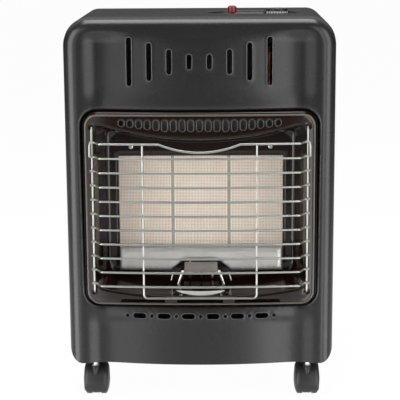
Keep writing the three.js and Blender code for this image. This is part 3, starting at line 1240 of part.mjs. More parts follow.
// A barbed tail for the cylinder's hose.
function inletNipple() {
  const start = KNOB_Y + VALVE_SIZE / 2 + GAP;
  const place = [KNOB_X, 0, INLET_Z];
  const end = start + INLET_LENGTH;
  const barbs = BARB_PLACES.map((share) => {
    const at = start + INLET_LENGTH * share;
    return bar('y', INLET_RADIUS + BARB_HEIGHT, [at, at + BARB_LENGTH], place, 12);
  });
  const nut = bar('y', INLET_RADIUS + INLET_NUT_OUTSET, [start, start + INLET_NUT_LENGTH], place, 6);
  const bore = bar('y', INLET_RADIUS - INLET_WALL, [start + 2 * PAST, end + PAST], place, 12);
  return cut(join(bar('y', INLET_RADIUS, [start, end], place, 12), nut, ...barbs), bore);
}
addPiece('inlet_nipple', inletNipple(), brass);

const piezoFloor = DISH_FLOOR - PIEZO_LENGTH;
const stemBottom = piezoFloor + PIEZO_BASE + BUTTON_TRAVEL + GAP;

const rimFoot = DISH_FLOOR + GAP;

addPiece('piezo_igniter', cut(
  turned([
    [0, piezoFloor], [PIEZO_RADIUS, piezoFloor], [PIEZO_RADIUS, rimFoot],
    [PIEZO_RADIUS + PIEZO_RIM, rimFoot], [PIEZO_RADIUS + PIEZO_RIM, rimFoot + SHEET], [0, rimFoot + SHEET],
  ], [BUTTON_X, BUTTON_Y], 16),
  bar('z', BUTTON_STEM + GAP, [piezoFloor + PIEZO_BASE, DISH_FLOOR + 2 * SHEET], [BUTTON_X, BUTTON_Y, 0], 12),
), blackPlastic);

addPiece('igniter_button', turned([
  [0, stemBottom], [BUTTON_STEM, stemBottom], [BUTTON_STEM, BUTTON_TOP - BUTTON_HEIGHT],
  [BUTTON_RADIUS, BUTTON_TOP - BUTTON_HEIGHT], [BUTTON_RADIUS, BUTTON_TOP - BUTTON_CROWN],
  [BUTTON_RADIUS - BUTTON_CROWN / 2, BUTTON_TOP - BUTTON_CROWN / 4],
  [BUTTON_RADIUS - BUTTON_CROWN, BUTTON_TOP], [0, BUTTON_TOP],
], [BUTTON_X, BUTTON_Y], 12), redPlastic);

// ---------------------------------------------------------------- pipes and lead
const valveFront = KNOB_Y - VALVE_SIZE / 2 - GAP;

addPiece('main_gas_pipe', bentBar(roundSection(PIPE, 8), [
  [MAIN_PIPE_X, valveFront, MAIN_PIPE_Z], [MAIN_PIPE_X, PIPE_LANE, MAIN_PIPE_Z],
  [MAIN_PIPE_X, PIPE_LANE, MANIFOLD_Z], [MAIN_PIPE_X, NECK_Y, MANIFOLD_Z],
  [MANIFOLD_HALF + GAP, NECK_Y, MANIFOLD_Z],
], 10), aluminium);

addPiece('pilot_pipe', bentBar(roundSection(PILOT_PIPE, 5), [
  [VALVE_LEFT - GAP, KNOB_Y, PILOT_PIPE_Z], [PILOT_PIPE_X, KNOB_Y, PILOT_PIPE_Z],
  [PILOT_PIPE_X, PIPE_LANE, PILOT_PIPE_Z], [PILOT_PIPE_X, PIPE_LANE, LEAD_Z],
  [PILOT_SPACING, PIPE_LANE, LEAD_Z], [PILOT_SPACING, PILOT_Y, LEAD_Z],
  [PILOT_SPACING, PILOT_Y, PILOT_BOTTOM - GAP],
], 5), aluminium);

addPiece('ignition_lead', bentBar(roundSection(LEAD, 5), [
  [-PILOT_SPACING, PILOT_Y, PILOT_BOTTOM - GAP], [-PILOT_SPACING, PILOT_Y, LEAD_Z],
  [-PILOT_SPACING, PIPE_LANE, LEAD_Z], [-PILOT_SPACING, PIPE_LANE, SPARK_LEAD_Z],
  [-PILOT_SPACING, BUTTON_Y, SPARK_LEAD_Z], [BUTTON_X, BUTTON_Y, SPARK_LEAD_Z],
  [BUTTON_X, BUTTON_Y, piezoFloor - GAP],
], 5), blackPlastic);

// A square bar on two stand-offs from the bulkhead.
function manifold() {
  const half = MANIFOLD_SIZE / 2;
  const heights = [MANIFOLD_Z - half, MANIFOLD_Z + half];
  const tube = block([-MANIFOLD_HALF, MANIFOLD_HALF], [NECK_Y - half, NECK_Y + half], heights);
  const feet = [-1, 1].map((side) => {
    const x = side * (PLAQUE_PITCH / 2);
    return block([x - half, x + half], [NECK_Y, BULKHEAD_AT - GAP], heights);
  });
  return join(tube, ...feet);
}
addPiece('manifold', manifold(), brass);

for (const [side, x] of plaquePlaces) {
  const low = MANIFOLD_Z + MANIFOLD_SIZE / 2 + GAP;
  addPiece(`injector_${side}`, turned([
    [0, low], [INJECTOR_RADIUS, low], [INJECTOR_RADIUS, low + INJECTOR_LENGTH * INJECTOR_SHANK],
    [INJECTOR_RADIUS / 2, low + INJECTOR_LENGTH], [0, low + INJECTOR_LENGTH],
  ], [x, NECK_Y], 12), brass);
}

// Tilt switch on the bulkhead's front, with two blade terminals.
function tipSwitch() {
  const back = BULKHEAD_AT - GAP;
  const [wide, deep, tall] = TIP_SWITCH_SIZE;
  const [bladeWide, bladeDeep, bladeTall] = BLADE_SIZE;
  const top = TIP_SWITCH_Z + tall / 2;
  const body = block(
    [TIP_SWITCH_X - wide / 2, TIP_SWITCH_X + wide / 2], [back - deep, back], [TIP_SWITCH_Z - tall / 2, top]);
  const blades = [-1, 1].map((side) => {
    const x = TIP_SWITCH_X + side * BLADE_SPACING;
    const depths = [back - (deep + bladeDeep) / 2, back - (deep - bladeDeep) / 2];
    return block([x - bladeWide / 2, x + bladeWide / 2], depths, [top - PAST, top - PAST + bladeTall]);
  });
  return join(body, ...blades);
}
addPiece('tip_switch', tipSwitch(), blackPlastic);

// ---------------------------------------------------------------- casters
const webHalf = CASTER_WIDTH / 2 - WHEEL_WIDTH - HOOD_CLEARANCE;
const wheelTip = WHEEL_RADIUS / Math.cos(Math.PI / WHEEL_SIDES); // to the corners between its flats
const hoodRadius = wheelTip + HOOD_CLEARANCE + HOOD_WALL;
const boreFloor = WHEEL_RADIUS + AXLE_RADIUS + BORE_WALL;

// A pin with a collar on the caster's boss, a flange under the tray and a head inside it.
function casterStem() {
  const [seat, wide] = [COVER_BOTTOM - GAP, STEM_RADIUS + STEM_COLLAR];
  return turned([
    [0, boreFloor + GAP], [STEM_RADIUS, boreFloor + GAP], [STEM_RADIUS, BOSS_TOP + GAP],
    [wide, BOSS_TOP + GAP], [wide, BOSS_TOP + STEM_COLLAR], [STEM_RADIUS, BOSS_TOP + STEM_COLLAR],
    [STEM_RADIUS, seat - SHEET], [wide, seat - SHEET], [wide, seat], [STEM_RADIUS, seat],
    [STEM_RADIUS, TRAY_FLOOR + GAP], [wide, TRAY_FLOOR + GAP],
    [wide, TRAY_FLOOR + STEM_HEAD], [0, TRAY_FLOOR + STEM_HEAD],
  ], [0, 0], 8);
}

// A web between the wheels, a boss for the stem and a shroud over the tops of both wheels.
function casterHood() {
  const centre = [0, CASTER_TRAIL, WHEEL_RADIUS];
  const half = CASTER_WIDTH / 2;
  const drum = bar('x', hoodRadius, [-half, half], centre, WHEEL_SIDES);
  const web = bar('x', WEB_RADIUS, [-webHalf, webHalf], centre, 12);
  const above = block(
    [-half, half], [-hoodRadius, hoodRadius + CASTER_TRAIL], [WHEEL_RADIUS + HOOD_RISE, BOSS_TOP]);
  const bossFoot = WHEEL_RADIUS - BOSS_DROP;
  const boss = turned([
    [0, bossFoot], [BOSS_RADIUS - BOSS_TAPER, bossFoot], [BOSS_RADIUS, BOSS_TOP], [0, BOSS_TOP],
  ], [0, 0], 14);
  const bays = [[-half - PAST, -webHalf], [webHalf, half + PAST]].map((span) => (
    bar('x', wheelTip + HOOD_CLEARANCE, span, centre, WHEEL_SIDES)));
  return cut(
    join(drum.intersect(above), web, boss),
    ...bays,
    bar('z', STEM_RADIUS + GAP, [boreFloor, BOSS_TOP + PAST], [0, 0, 0], 10),
    bar('x', AXLE_RADIUS + GAP, [-half, half], centre, 12),
  );
}

function casterWheel(side) {
  const inner = CASTER_WIDTH / 2 - WHEEL_WIDTH;
  const outer = CASTER_WIDTH / 2;
  const profile = [
    [0, inner], [wheelTip, inner], [wheelTip, outer - TREAD_EDGE], [wheelTip - TREAD_FALL, outer], [0, outer],
  ].map(([radius, along]) => new THREE.Vector2(radius, along));
  const shape = new THREE.LatheGeometry(profile, WHEEL_SIDES);
  shape.rotateY(Math.PI / WHEEL_SIDES);
  shape.rotateZ(side < 0 ? Math.PI / 2 : -Math.PI / 2);
  shape.translate(0, CASTER_TRAIL, WHEEL_RADIUS);
  const axleEnd = outer - AXLE_CAP;
  const boreSpan = side < 0 ? [-axleEnd, -inner + PAST] : [inner - PAST, axleEnd];
  const bore = bar('x', AXLE_RADIUS + GAP, boreSpan, [0, CASTER_TRAIL, WHEEL_RADIUS], 12);
  return cut(toSolid(shape), bore);
}

function casterAxle() {
  const end = CASTER_WIDTH / 2 - AXLE_CAP - GAP;
  return bar('x', AXLE_RADIUS, [-end, end], [0, CASTER_TRAIL, WHEEL_RADIUS], 12);
}

for (const [corner, x, y] of casterPlaces()) {
  const caster = new THREE.Group();
  caster.position.set(x, y, 0);
  const pieces = [
    ['stem', casterStem(), zinc], ['hood', casterHood(), wheelPlastic], ['axle', casterAxle(), zinc],
    ['wheel_left', casterWheel(-1), wheelPlastic], ['wheel_right', casterWheel(1), wheelPlastic],
  ];
  for (const [name, solid, material] of pieces) {
    const mesh = new THREE.Mesh(toGeometry(solid), material);
    mesh.name = `caster_${corner}_${name}`;
    caster.add(mesh);
  }
  heater.add(caster);
}

// ---------------------------------------------------------------- place the origin
// The origin is the middle of the whole heater's plan, on the floor.
const bounds = new THREE.Box3().setFromObject(heater);
const middle = bounds.getCenter(new THREE.Vector3());
heater.position.set(-middle.x, -middle.y, -bounds.min.z);
heater.updateMatrixWorld(true);

export default heater;
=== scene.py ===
"""Looks of a portable gas cabinet heater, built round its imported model.

Lengths are millimetres in the drawing's own frame until metres() places them: X to the right, Y back
from the front cover's flat land, Z up from the floor.
"""

import math

import bmesh
import bpy
from mathutils import Matrix, Vector
from mathutils.geometry import delaunay_2d_cdt
from mathutils.kdtree import KDTree

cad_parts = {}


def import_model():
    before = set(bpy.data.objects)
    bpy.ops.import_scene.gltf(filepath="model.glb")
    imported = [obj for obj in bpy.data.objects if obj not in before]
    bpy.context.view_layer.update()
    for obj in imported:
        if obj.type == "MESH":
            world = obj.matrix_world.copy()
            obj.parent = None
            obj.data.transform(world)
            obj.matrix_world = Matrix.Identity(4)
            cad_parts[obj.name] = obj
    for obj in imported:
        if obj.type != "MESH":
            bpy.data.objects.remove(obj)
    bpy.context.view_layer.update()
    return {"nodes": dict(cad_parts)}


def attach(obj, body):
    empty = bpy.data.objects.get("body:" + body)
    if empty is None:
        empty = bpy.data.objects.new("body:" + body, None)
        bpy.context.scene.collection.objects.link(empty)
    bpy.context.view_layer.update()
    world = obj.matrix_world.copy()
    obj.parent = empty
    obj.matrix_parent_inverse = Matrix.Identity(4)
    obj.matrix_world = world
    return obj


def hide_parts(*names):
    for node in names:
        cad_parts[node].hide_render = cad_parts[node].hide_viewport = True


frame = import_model()

# ---------------------------------------------------------------- sizes
SHIFT_Y = -208.0339  # from the drawing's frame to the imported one
SHEET = 1.5
THIN_SHEET = 1.2

HALF_WIDTH = 210
CABINET_TOP = 610
COVER_BOTTOM = 63
COVER_DEPTH = 26
TOP_CORNER = 43
BOTTOM_CORNER = 21
FOOT_RISE = 27  # height of the cover's trimmed lower corners
EDGE_ROLL = 21

SIDE_DEPTH = 330
WRAP_FRONT = 26.3
WRAP_CORNER = 28  # radius of the wrap's two bends at the rear
WRAP_FRONT_CORNER = 41  # the same at the front, where it follows the cover
REAR_FOLD = 3  # radius of the fold to the rear lip
REAR_LIP = 22

FACE_BOW = 8
GROOVE = (155, 12, 4, 187)  # beside the window: groove at, its rise, its depth, land at
WIDE_GROOVE = (155, 26, 6.5, 186)  # over and under the window
GROOVE_FOOT, GROOVE_HEAD = 125, 500  # between these heights the narrow groove takes the wide one's place
GROOVE_BLEND = 22
HEAD_LAND = 16  # flat strip at the cover's top

WINDOW_LOW, WINDOW_HIGH = 157.3, 469.6
WINDOW_HALF_LOW, WINDOW_HALF_HIGH = 183, 185.4
WINDOW_CORNER = 25
BEZEL_HALF, BEZEL_LOW, BEZEL_HIGH = 181, 159.3, 467.6
BEZEL_BOW = 9
MOUTH_HALF, MOUTH_LOW, MOUTH_HIGH = 165, 174, 424.7
MOUTH_LIP = 4.0
RECESS_DEPTH = 70
SCREW_X, SCREW_Z = 112, 402
PLAQUE_FACE = 73
PLAQUE_PITCH = 90.6
GUARD_HOLE_X, GUARD_HOLE_HEIGHTS = 166.5, (181.5, 444)
WIRE = 3.8

DISH = (86, 172, 152, 96)  # centre X and Y, length, width
DISH_DEPTH = 10
KNOB = (125, 172)
KNOB_RADIUS = 22.85
BUTTON = (51.5, 165)

PAN_BACK = 455
PAN_HALF, PAN_TOP, PAN_CORNER, PAN_ROLL = 192, 590, 34, 22
LOUVRE_X, LOUVRE_TOP, LOUVRE_STEP, LOUVRE_ROWS = 85, 500, 24, 9

CASTERS = {
    "front_left": (-171, 26), "front_right": (171, 26), "rear_left": (-160, 390), "rear_right": (160, 390),
}


def metres(x, y, z, shift=SHIFT_Y):
    return Vector((x, y + shift, z)) * 0.001


def smooth(t):
    t = min(1.0, max(0.0, t))
    return t * t * (3 - 2 * t)


# ---------------------------------------------------------------- node trees
class Bench:
    """Places nodes in a tree and joins them up."""

    def __init__(self, tree):
        self.tree = tree

    def feed(self, socket, value):
        if isinstance(value, bpy.types.Node):
            value = value.outputs[0]
        if isinstance(value, bpy.types.NodeSocket):
            self.tree.links.new(value, socket)
        else:
            socket.default_value = value

    def node(self, kind, inputs=None, **settings):
        node = self.tree.nodes.new(kind)
        for key, value in settings.items():
            setattr(node, key, value)
        for key, value in (inputs or {}).items():
            self.feed(node.inputs[key], value)
        return node

    def math(self, operation, *values):
        node = self.tree.nodes.new("ShaderNodeMath")
        node.operation = operation
        for socket, value in zip(node.inputs, values):
            self.feed(socket, value)
        return node.outputs[0]

    def vector(self, operation, *values):
        node = self.tree.nodes.new("ShaderNodeVectorMath")
        node.operation = operation
        keys = ("Vector", "Scale") if operation == "SCALE" else (0, 1)
        for key, value in zip(keys, values):
            self.feed(node.inputs[key], value)
        return node.outputs[0]

    def mix(self, share, first, second):
        node = self.tree.nodes.new("ShaderNodeMix")
        node.data_type = "RGBA"
        for key, value in ((0, share), (6, first), (7, second)):
            self.feed(node.inputs[key], value)
        return node.outputs[2]

    def spread(self, value, low, high, new_low=0.0, new_high=1.0, how="LINEAR"):
        node = self.node("ShaderNodeMapRange", interpolation_type=how)
        for key, given in enumerate((value, low, high, new_low, new_high)):
            self.feed(node.inputs[key], given)
        return node.outputs[0]


def shape_tree(name, sizes):
    """A geometry tree with named inputs, as (tree, bench, group input, group output)."""
    tree = bpy.data.node_groups.new(name, "GeometryNodeTree")
    tree.interface.new_socket("Geometry", in_out="INPUT", socket_type="NodeSocketGeometry")
    tree.interface.new_socket("Geometry", in_out="OUTPUT", socket_type="NodeSocketGeometry")
    for label, kind in sizes:
        tree.interface.new_socket(label, in_out="INPUT", socket_type="NodeSocket" + kind)
    tree.interface.new_socket("Material", in_out="INPUT", socket_type="NodeSocketMaterial")
    bench = Bench(tree)
    return tree, bench, bench.node("NodeGroupInput").outputs, bench.node("NodeGroupOutput").inputs


def close_tree(bench, given, result, geometry):
    """Ends a geometry tree in plain faces with their material."""
    real = bench.node("GeometryNodeRealizeInstances", {0: geometry})
    joined = bench.node("GeometryNodeMergeByDistance", {"Geometry": real, "Distance": 1e-6})
    dressed = bench.node("GeometryNodeSetMaterial", {"Geometry": joined, "Material": given["Material"]})
    bench.feed(result[0], dressed)


def round_bars(bench, path, sides, radius):
    """The faces of a round bar along a curve, closed at its ends."""
    section = bench.node("GeometryNodeCurvePrimitiveCircle", {"Resolution": sides, "Radius": radius})
    return bench.node("GeometryNodeCurveToMesh", {"Curve": path, "Profile Curve": section, "Fill Caps": True})


def guard_wires_tree():
    """Level wires one below another, stepped forward between their shoulders and bowed."""
    tree, bench, given, result = shape_tree("guard_wires", [
        ("Wires", "Int"), ("Pitch", "Float"), ("Top", "Float"), ("Half Length", "Float"),
        ("Shoulder", "Float"), ("Step", "Float"), ("End Depth", "Float"), ("Reach", "Float"),
        ("Bow", "Float"), ("Dip", "Float"), ("Dip Half", "Float"), ("Wire Radius", "Float"),
    ])
    left = bench.node("ShaderNodeCombineXYZ", {0: bench.math("MULTIPLY", given["Half Length"], -1)})
    right = bench.node("ShaderNodeCombineXYZ", {0: given["Half Length"]})
    line = bench.node("GeometryNodeCurvePrimitiveLine", {"Start": left, "End": right})
    fine = bench.node("GeometryNodeResampleCurve", {"Curve": line, "Count": 261})
    rows = bench.node("GeometryNodeDuplicateElements", {
        "Geometry": fine, "Amount": given["Wires"]}, domain="SPLINE")
    index = rows.outputs["Duplicate Index"]
    x = bench.node("ShaderNodeSeparateXYZ", {0: bench.node("GeometryNodeInputPosition")}).outputs[0]
    across = bench.math("ABSOLUTE", x)
    share = bench.math("DIVIDE", across, given["Shoulder"])
    fall = bench.math("SUBTRACT", 1, bench.math("MULTIPLY", share, share))
    bow = bench.math("MULTIPLY", given["Bow"], fall)
    forward = bench.math("ADD", given["Reach"], bench.math("MAXIMUM", bow, 0))
    step = bench.spread(across, given["Shoulder"], given["Step"], 1, 0, "SMOOTHSTEP")
    depth = bench.math("SUBTRACT", given["End Depth"], bench.math("MULTIPLY", forward, step))
    dip_share = bench.math("DIVIDE", across, given["Dip Half"])
    sag = bench.math("MAXIMUM", bench.math("SUBTRACT", 1, bench.math("MULTIPLY", dip_share, dip_share)), 0)
    top_only = bench.math("LESS_THAN", index, 0.5)
    dip = bench.math("MULTIPLY", bench.math("MULTIPLY", sag, given["Dip"]), top_only)
    level = bench.math("SUBTRACT", given["Top"], bench.math("MULTIPLY", index, given["Pitch"]))
    place = bench.node("ShaderNodeCombineXYZ", {0: x, 1: depth, 2: bench.math("SUBTRACT", level, dip)})
    bent = bench.node("GeometryNodeSetPosition", {"Geometry": rows, "Position": place})
    close_tree(bench, given, result, round_bars(bench, bent, 10, given["Wire Radius"]))
    return tree


def bent_rods_tree():
    """Round bars that follow the edges given, with their corners bent to a radius."""
    tree, bench, given, result = shape_tree("bent_rods", [
        ("Radius", "Float"), ("Bend", "Float"), ("Sides", "Int"),
    ])
    path = bench.node("GeometryNodeMeshToCurve", {"Mesh": given["Geometry"]})
    bent = bench.node("GeometryNodeFilletCurve", {
        "Curve": path, "Count": 6, "Radius": given["Bend"], "Limit Radius": True}, mode="POLY")
    close_tree(bench, given, result, round_bars(bench, bent, given["Sides"], given["Radius"]))
    return tree


def rows_tree():
    """Copies of a piece in columns and rows."""
    tree, bench, given, result = shape_tree("rows_of_a_piece", [
        ("Piece", "Object"), ("Columns", "Int"), ("Rows", "Int"), ("Start", "Vector"),
        ("Column Step", "Vector"), ("Row Step", "Vector"),
    ])
    index = bench.node("GeometryNodeInputIndex").outputs[0]
    column = bench.math("MODULO", index, given["Columns"])
    row = bench.math("FLOOR", bench.math("DIVIDE", index, given["Columns"]))
    along = bench.vector("SCALE", given["Column Step"], column)
    down = bench.vector("SCALE", given["Row Step"], row)
    place = bench.vector("ADD", given["Start"], bench.vector("ADD", along, down))
    count = bench.math("MULTIPLY", given["Columns"], given["Rows"])
    points = bench.node("GeometryNodePoints", {"Count": count, "Position": place})
    piece = bench.node("GeometryNodeObjectInfo", {"Object": given["Piece"]}).outputs["Geometry"]
    copies = bench.node("GeometryNodeInstanceOnPoints", {"Points": points, "Instance": piece})
    close_tree(bench, given, result, copies)
    return tree


def ring_tree():
    """Copies of a piece turned about an axis through a centre."""
    tree, bench, given, result = shape_tree("ring_of_a_piece", [
        ("Piece", "Object"), ("Count", "Int"), ("Centre", "Vector"), ("Axis", "Vector"), ("Arc", "Float"),
        ("First Angle", "Float"),
    ])
    index = bench.node("GeometryNodeInputIndex").outputs[0]
    turn = bench.math("DIVIDE", bench.math("MULTIPLY", index, given["Arc"]), given["Count"])
    angle = bench.math("ADD", turn, given["First Angle"])
    turned = bench.node("FunctionNodeAxisAngleToRotation", {"Axis": given["Axis"], "Angle": angle})
    points = bench.node("GeometryNodePoints", {"Count": given["Count"], "Position": given["Centre"]})
    piece = bench.node("GeometryNodeObjectInfo", {"Object": given["Piece"]}).outputs["Geometry"]
    copies = bench.node("GeometryNodeInstanceOnPoints", {
        "Points": points, "Instance": piece, "Rotation": turned})
    close_tree(bench, given, result, copies)
    return tree


GUARD_WIRES = guard_wires_tree()
BENT_RODS = bent_rods_tree()
ROWS = rows_tree()
RING = ring_tree()


# ---------------------------------------------------------------- making pieces
def new_object(name, vertices, faces, edges=(), shift=SHIFT_Y):
    mesh = bpy.data.meshes.new(name)
    mesh.from_pydata([metres(*vertex, shift) for vertex in vertices], edges, faces)
    piece = bpy.data.objects.new(name, mesh)
    bpy.context.scene.collection.objects.link(piece)
    return piece


def settle(piece):
    """Turns a piece's modifiers into plain faces."""
    graph = bpy.context.evaluated_depsgraph_get()
    made = bpy.data.meshes.new_from_object(piece.evaluated_get(graph))
    piece.modifiers.clear()
    piece.data = made


def dress(piece, material, body, *stands_for, slot=None, sharp_angle=32):
    """Shades a piece, gives it its material and ties it to its body."""
    piece.data.shade_smooth()
    piece.data.set_sharp_from_angle(angle=math.radians(sharp_angle))
    if material is not None:
        piece.data.materials.clear()
        piece.data.materials.append(material)
    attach(piece, body)
    if stands_for:
        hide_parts(*stands_for)


def run_tree(piece, tree, **inputs):
    """Runs a geometry tree on a piece and keeps the plain faces; input names have _ for a space."""
    modifier = piece.modifiers.new("shape", "NODES")
    modifier.node_group = tree
    for item in tree.interface.items_tree:
        key = item.name.replace(" ", "_")
        if item.in_out == "INPUT" and key in inputs:
            modifier[item.identifier] = inputs[key]
    settle(piece)
    return piece


def rows_of(pattern, name, material, start, columns, column_step, rows=1, row_step=0):
    """A pattern piece repeated along X and up Z by steps in millimetres, as one mesh."""
    host = new_object(name, [], [])
    run_tree(host, ROWS, Piece=pattern, Columns=columns, Rows=rows, Start=start,
             Column_Step=(column_step * 0.001, 0, 0), Row_Step=(0, 0, row_step * 0.001), Material=material)
    bpy.data.objects.remove(pattern)
    return host


def ring_of(pattern, name, material, count, centre, axis, first_angle=0.0):
    """A pattern piece repeated all round an axis, as one mesh."""
    host = new_object(name, [], [])
    run_tree(host, RING, Piece=pattern, Count=count, Centre=metres(*centre), Axis=axis, Arc=2 * math.pi,
             First_Angle=first_angle, Material=material)
    bpy.data.objects.remove(pattern)
    return host


def rods(name, paths, radius, bend, sides, material, closed=False):
    """Round rods along paths of points, bent at their corners."""
    vertices, edges = [], []
    for path in paths:
        start, count = len(vertices), len(path)
        vertices += path
        edges += [(start + i, start + (i + 1) % count) for i in range(count if closed else count - 1)]
    made = new_object(name, vertices, [], edges)
    return run_tree(made, BENT_RODS, Radius=radius * 0.001, Bend=bend * 0.001, Sides=sides, Material=material)


def fuse(piece, *others, merge=0.0):
    """Adds other pieces' faces to a piece and merges corners that lie closer than merge, in metres."""
    net = bmesh.new()
    for part in (piece, *others):
        net.from_mesh(part.data)
    if merge:
        bmesh.ops.remove_doubles(net, verts=net.verts, dist=merge)
    net.to_mesh(piece.data)
    net.free()
    for part in others:
        bpy.data.objects.remove(part)
    return piece


def face_outwards(piece, upwards=False):
    """Turns an open shell's faces one way, and upwards on the whole where that is asked."""
    net = bmesh.new()
    net.from_mesh(piece.data)
    bmesh.ops.recalc_face_normals(net, faces=net.faces)
    if upwards and sum(face.normal.z for face in net.faces) < 0:
        bmesh.ops.reverse_faces(net, faces=net.faces)
    net.to_mesh(piece.data)
    net.free()


def close_up(piece):
    """Merges doubles in a closed shape and turns its faces outwards."""
    net = bmesh.new()
    net.from_mesh(piece.data)
    bmesh.ops.remove_doubles(net, verts=net.verts, dist=2e-6)
    bmesh.ops.dissolve_degenerate(net, edges=net.edges, dist=1e-7)
    bmesh.ops.recalc_face_normals(net, faces=net.faces)
    net.to_mesh(piece.data)
    net.free()
    return piece


def thicken(piece, thickness, even=True):
    """Gives a sheet its thickness behind its outer face."""
    wall = piece.modifiers.new("thickness", "SOLIDIFY")
    wall.thickness = thickness * 0.001
    wall.offset = -1
    wall.use_even_offset = even
    settle(piece)
    return piece


class Shape:
    """Collects corners and faces of closed solids in the drawing's frame."""

    def __init__(self):
        self.vertices = []
        self.faces = []

    def add(self, vertices, faces):
        start = len(self.vertices)
        self.vertices.extend(vertices)
        self.faces.extend([corner + start for corner in face] for face in faces)

    def lofted(self, rings, closed_ends=True):
        """Bands between rings of equal length, with flat ends."""
        count = len(rings[0])
        last = len(rings) - 1
        faces = []
        for k in range(last):
            low, high = k * count, (k + 1) * count
            for i in range(count):
                j = (i + 1) % count
                faces.append([low + i, low + j, high + j, high + i])
        if closed_ends:
            faces.append(list(range(count))[::-1])
            faces.append([last * count + i for i in range(count)])
        self.add([point for ring in rings for point in ring], faces)
        return self

    def turned(self, profile, axis, centre, steps=48):
        """A profile of (radius, along) pairs turned about an axis."""
        rings = []
        for radius, along in profile:
            radius = max(radius, 1e-4)
            ring = []
            for i in range(steps):
                angle = 2 * math.pi * i / steps
                p, q = radius * math.cos(angle), radius * math.sin(angle)
                local = {"x": (along, p, q), "y": (q, along, p), "z": (p, q, along)}[axis]
                ring.append(tuple(c + d for c, d in zip(centre, local)))
            rings.append(ring)
        return self.lofted(rings)

    def box(self, xs, ys, zs):
        """A block with its edges broken by a small chamfer."""
        (x0, x1), (y0, y1), (z0, z1) = xs, ys, zs
        c = min(0.3, (x1 - x0) / 4, (y1 - y0) / 4, (z1 - z0) / 4)

        def ring(z, inset):
            a, b, e, f = x0 + inset, x1 - inset, y0 + inset, y1 - inset
            return [(a + c, e, z), (b - c, e, z), (b, e + c, z), (b, f - c, z),
                    (b - c, f, z), (a + c, f, z), (a, f - c, z), (a, e + c, z)]
        return self.lofted([ring(z0, c), ring(z0 + c, 0), ring(z1 - c, 0), ring(z1, c)])

    def piece(self, name):
        return close_up(new_object(name, self.vertices, self.faces))

    def pattern(self, name):
        """The solid about its own origin, for a tree to repeat."""
        return close_up(new_object(name, self.vertices, self.faces, shift=0))


# ---------------------------------------------------------------- outlines
def arc(x, z, radius, start, end, steps):
    """Points of an arc given in degrees, both ends included."""
    turns = [math.radians(start + (end - start) * i / steps) for i in range(steps + 1)]
    return [(x + radius * math.cos(t), z + radius * math.sin(t)) for t in turns]


def straight(first, last, steps):
    """Points strictly between two points."""
    return [tuple(a + (b - a) * i / steps for a, b in zip(first, last)) for i in range(1, steps)]


def rounded_loop(half, low, high, low_corner, high_corner, corner_steps=14, across=60, up=60):
    """An upright rounded box, counter-clockwise, with aligned points whatever its size."""
    corners = [
        (half - low_corner, low + low_corner, low_corner, -90),
        (half - high_corner, high - high_corner, high_corner, 0),
        (high_corner - half, high - high_corner, high_corner, 90),
        (low_corner - half, low + low_corner, low_corner, 180),
    ]
    arcs = [arc(x, z, max(radius, 1e-3), start, start + 90, corner_steps) for x, z, radius, start in corners]
    loop = []
    for k, bend in enumerate(arcs):
        loop += bend
        loop += straight(bend[-1], arcs[(k + 1) % 4][0], up if k % 2 == 0 else across)
    return loop


def capsule(x, z, length, width, steps=10):
    """A slot with round ends; length lies along X and width along Z."""
    radius = min(length, width) / 2
    reach = length / 2 - radius
    rise = width / 2 - radius
    ends = [(x + reach, z + rise), (x - reach, z + rise), (x - reach, z - rise), (x + reach, z - rise)]
    kept = []
    for quarter, (px, pz) in enumerate(ends):
        for point in arc(px, pz, radius, 90 * quarter, 90 * quarter + 90, steps):
            if not kept or math.dist(point, kept[-1]) > 1e-3:
                kept.append(point)
    return kept[:-1] if math.dist(kept[0], kept[-1]) < 1e-3 else kept


def softened(corners, radius, steps=4):
    """A polygon with its corners rounded."""
    loop = []
    for i, corner in enumerate(corners):
        here, before, after = Vector(corner), Vector(corners[i - 1]), Vector(corners[(i + 1) % len(corners)])
        enter = here + (before - here).normalized() * radius
        leave = here + (after - here).normalized() * radius
        for k in range(steps + 1):
            t = k / steps
            loop.append(tuple(enter * (1 - t) ** 2 + here * 2 * t * (1 - t) + leave * t * t))
    return loop


def grown(loop, distance):
    """A counter-clockwise loop moved outwards along its own normals."""
    moved = []
    count = len(loop)
    for i, (x, z) in enumerate(loop):
        (ax, az), (bx, bz) = loop[i - 1], loop[(i + 1) % count]
        dx, dz = bx - ax, bz - az
        length = math.hypot(dx, dz) or 1
        moved.append((x + distance * dz / length, z - distance * dx / length))
    return moved


def evened(loop, spacing):
    """A loop with points evenly spaced along it."""
    closed = loop + [loop[0]]
    lengths = [0.0]
    for a, b in zip(closed, closed[1:]):
        lengths.append(lengths[-1] + math.dist(a, b))
    count = max(8, round(lengths[-1] / spacing))
    out, k = [], 0
    for i in range(count):
        at = lengths[-1] * i / count
        while lengths[k + 1] < at:
            k += 1
        t = (at - lengths[k]) / (lengths[k + 1] - lengths[k])
        out.append(tuple(a + (b - a) * t for a, b in zip(closed[k], closed[k + 1])))
    return out


def inside(x, z, loop):
    """Whether a point is inside a loop."""
    within = False
    count = len(loop)
    for i in range(count):
        (ax, az), (bx, bz) = loop[i], loop[(i + 1) % count]
        if (az > z) != (bz > z) and x < (bx - ax) * (z - az) / (bz - az) + ax:
            within = not within
    return within


class Region:
    """A loop with its box, so that most points are told apart quickly."""

    def __init__(self, loop):
        self.loop = loop
        self.low = [min(point[k] for point in loop) for k in (0, 1)]
        self.high = [max(point[k] for point in loop) for k in (0, 1)]

    def holds(self, x, z):
        if not (self.low[0] < x < self.high[0] and self.low[1] < z < self.high[1]):
            return False
        return inside(x, z, self.loop)


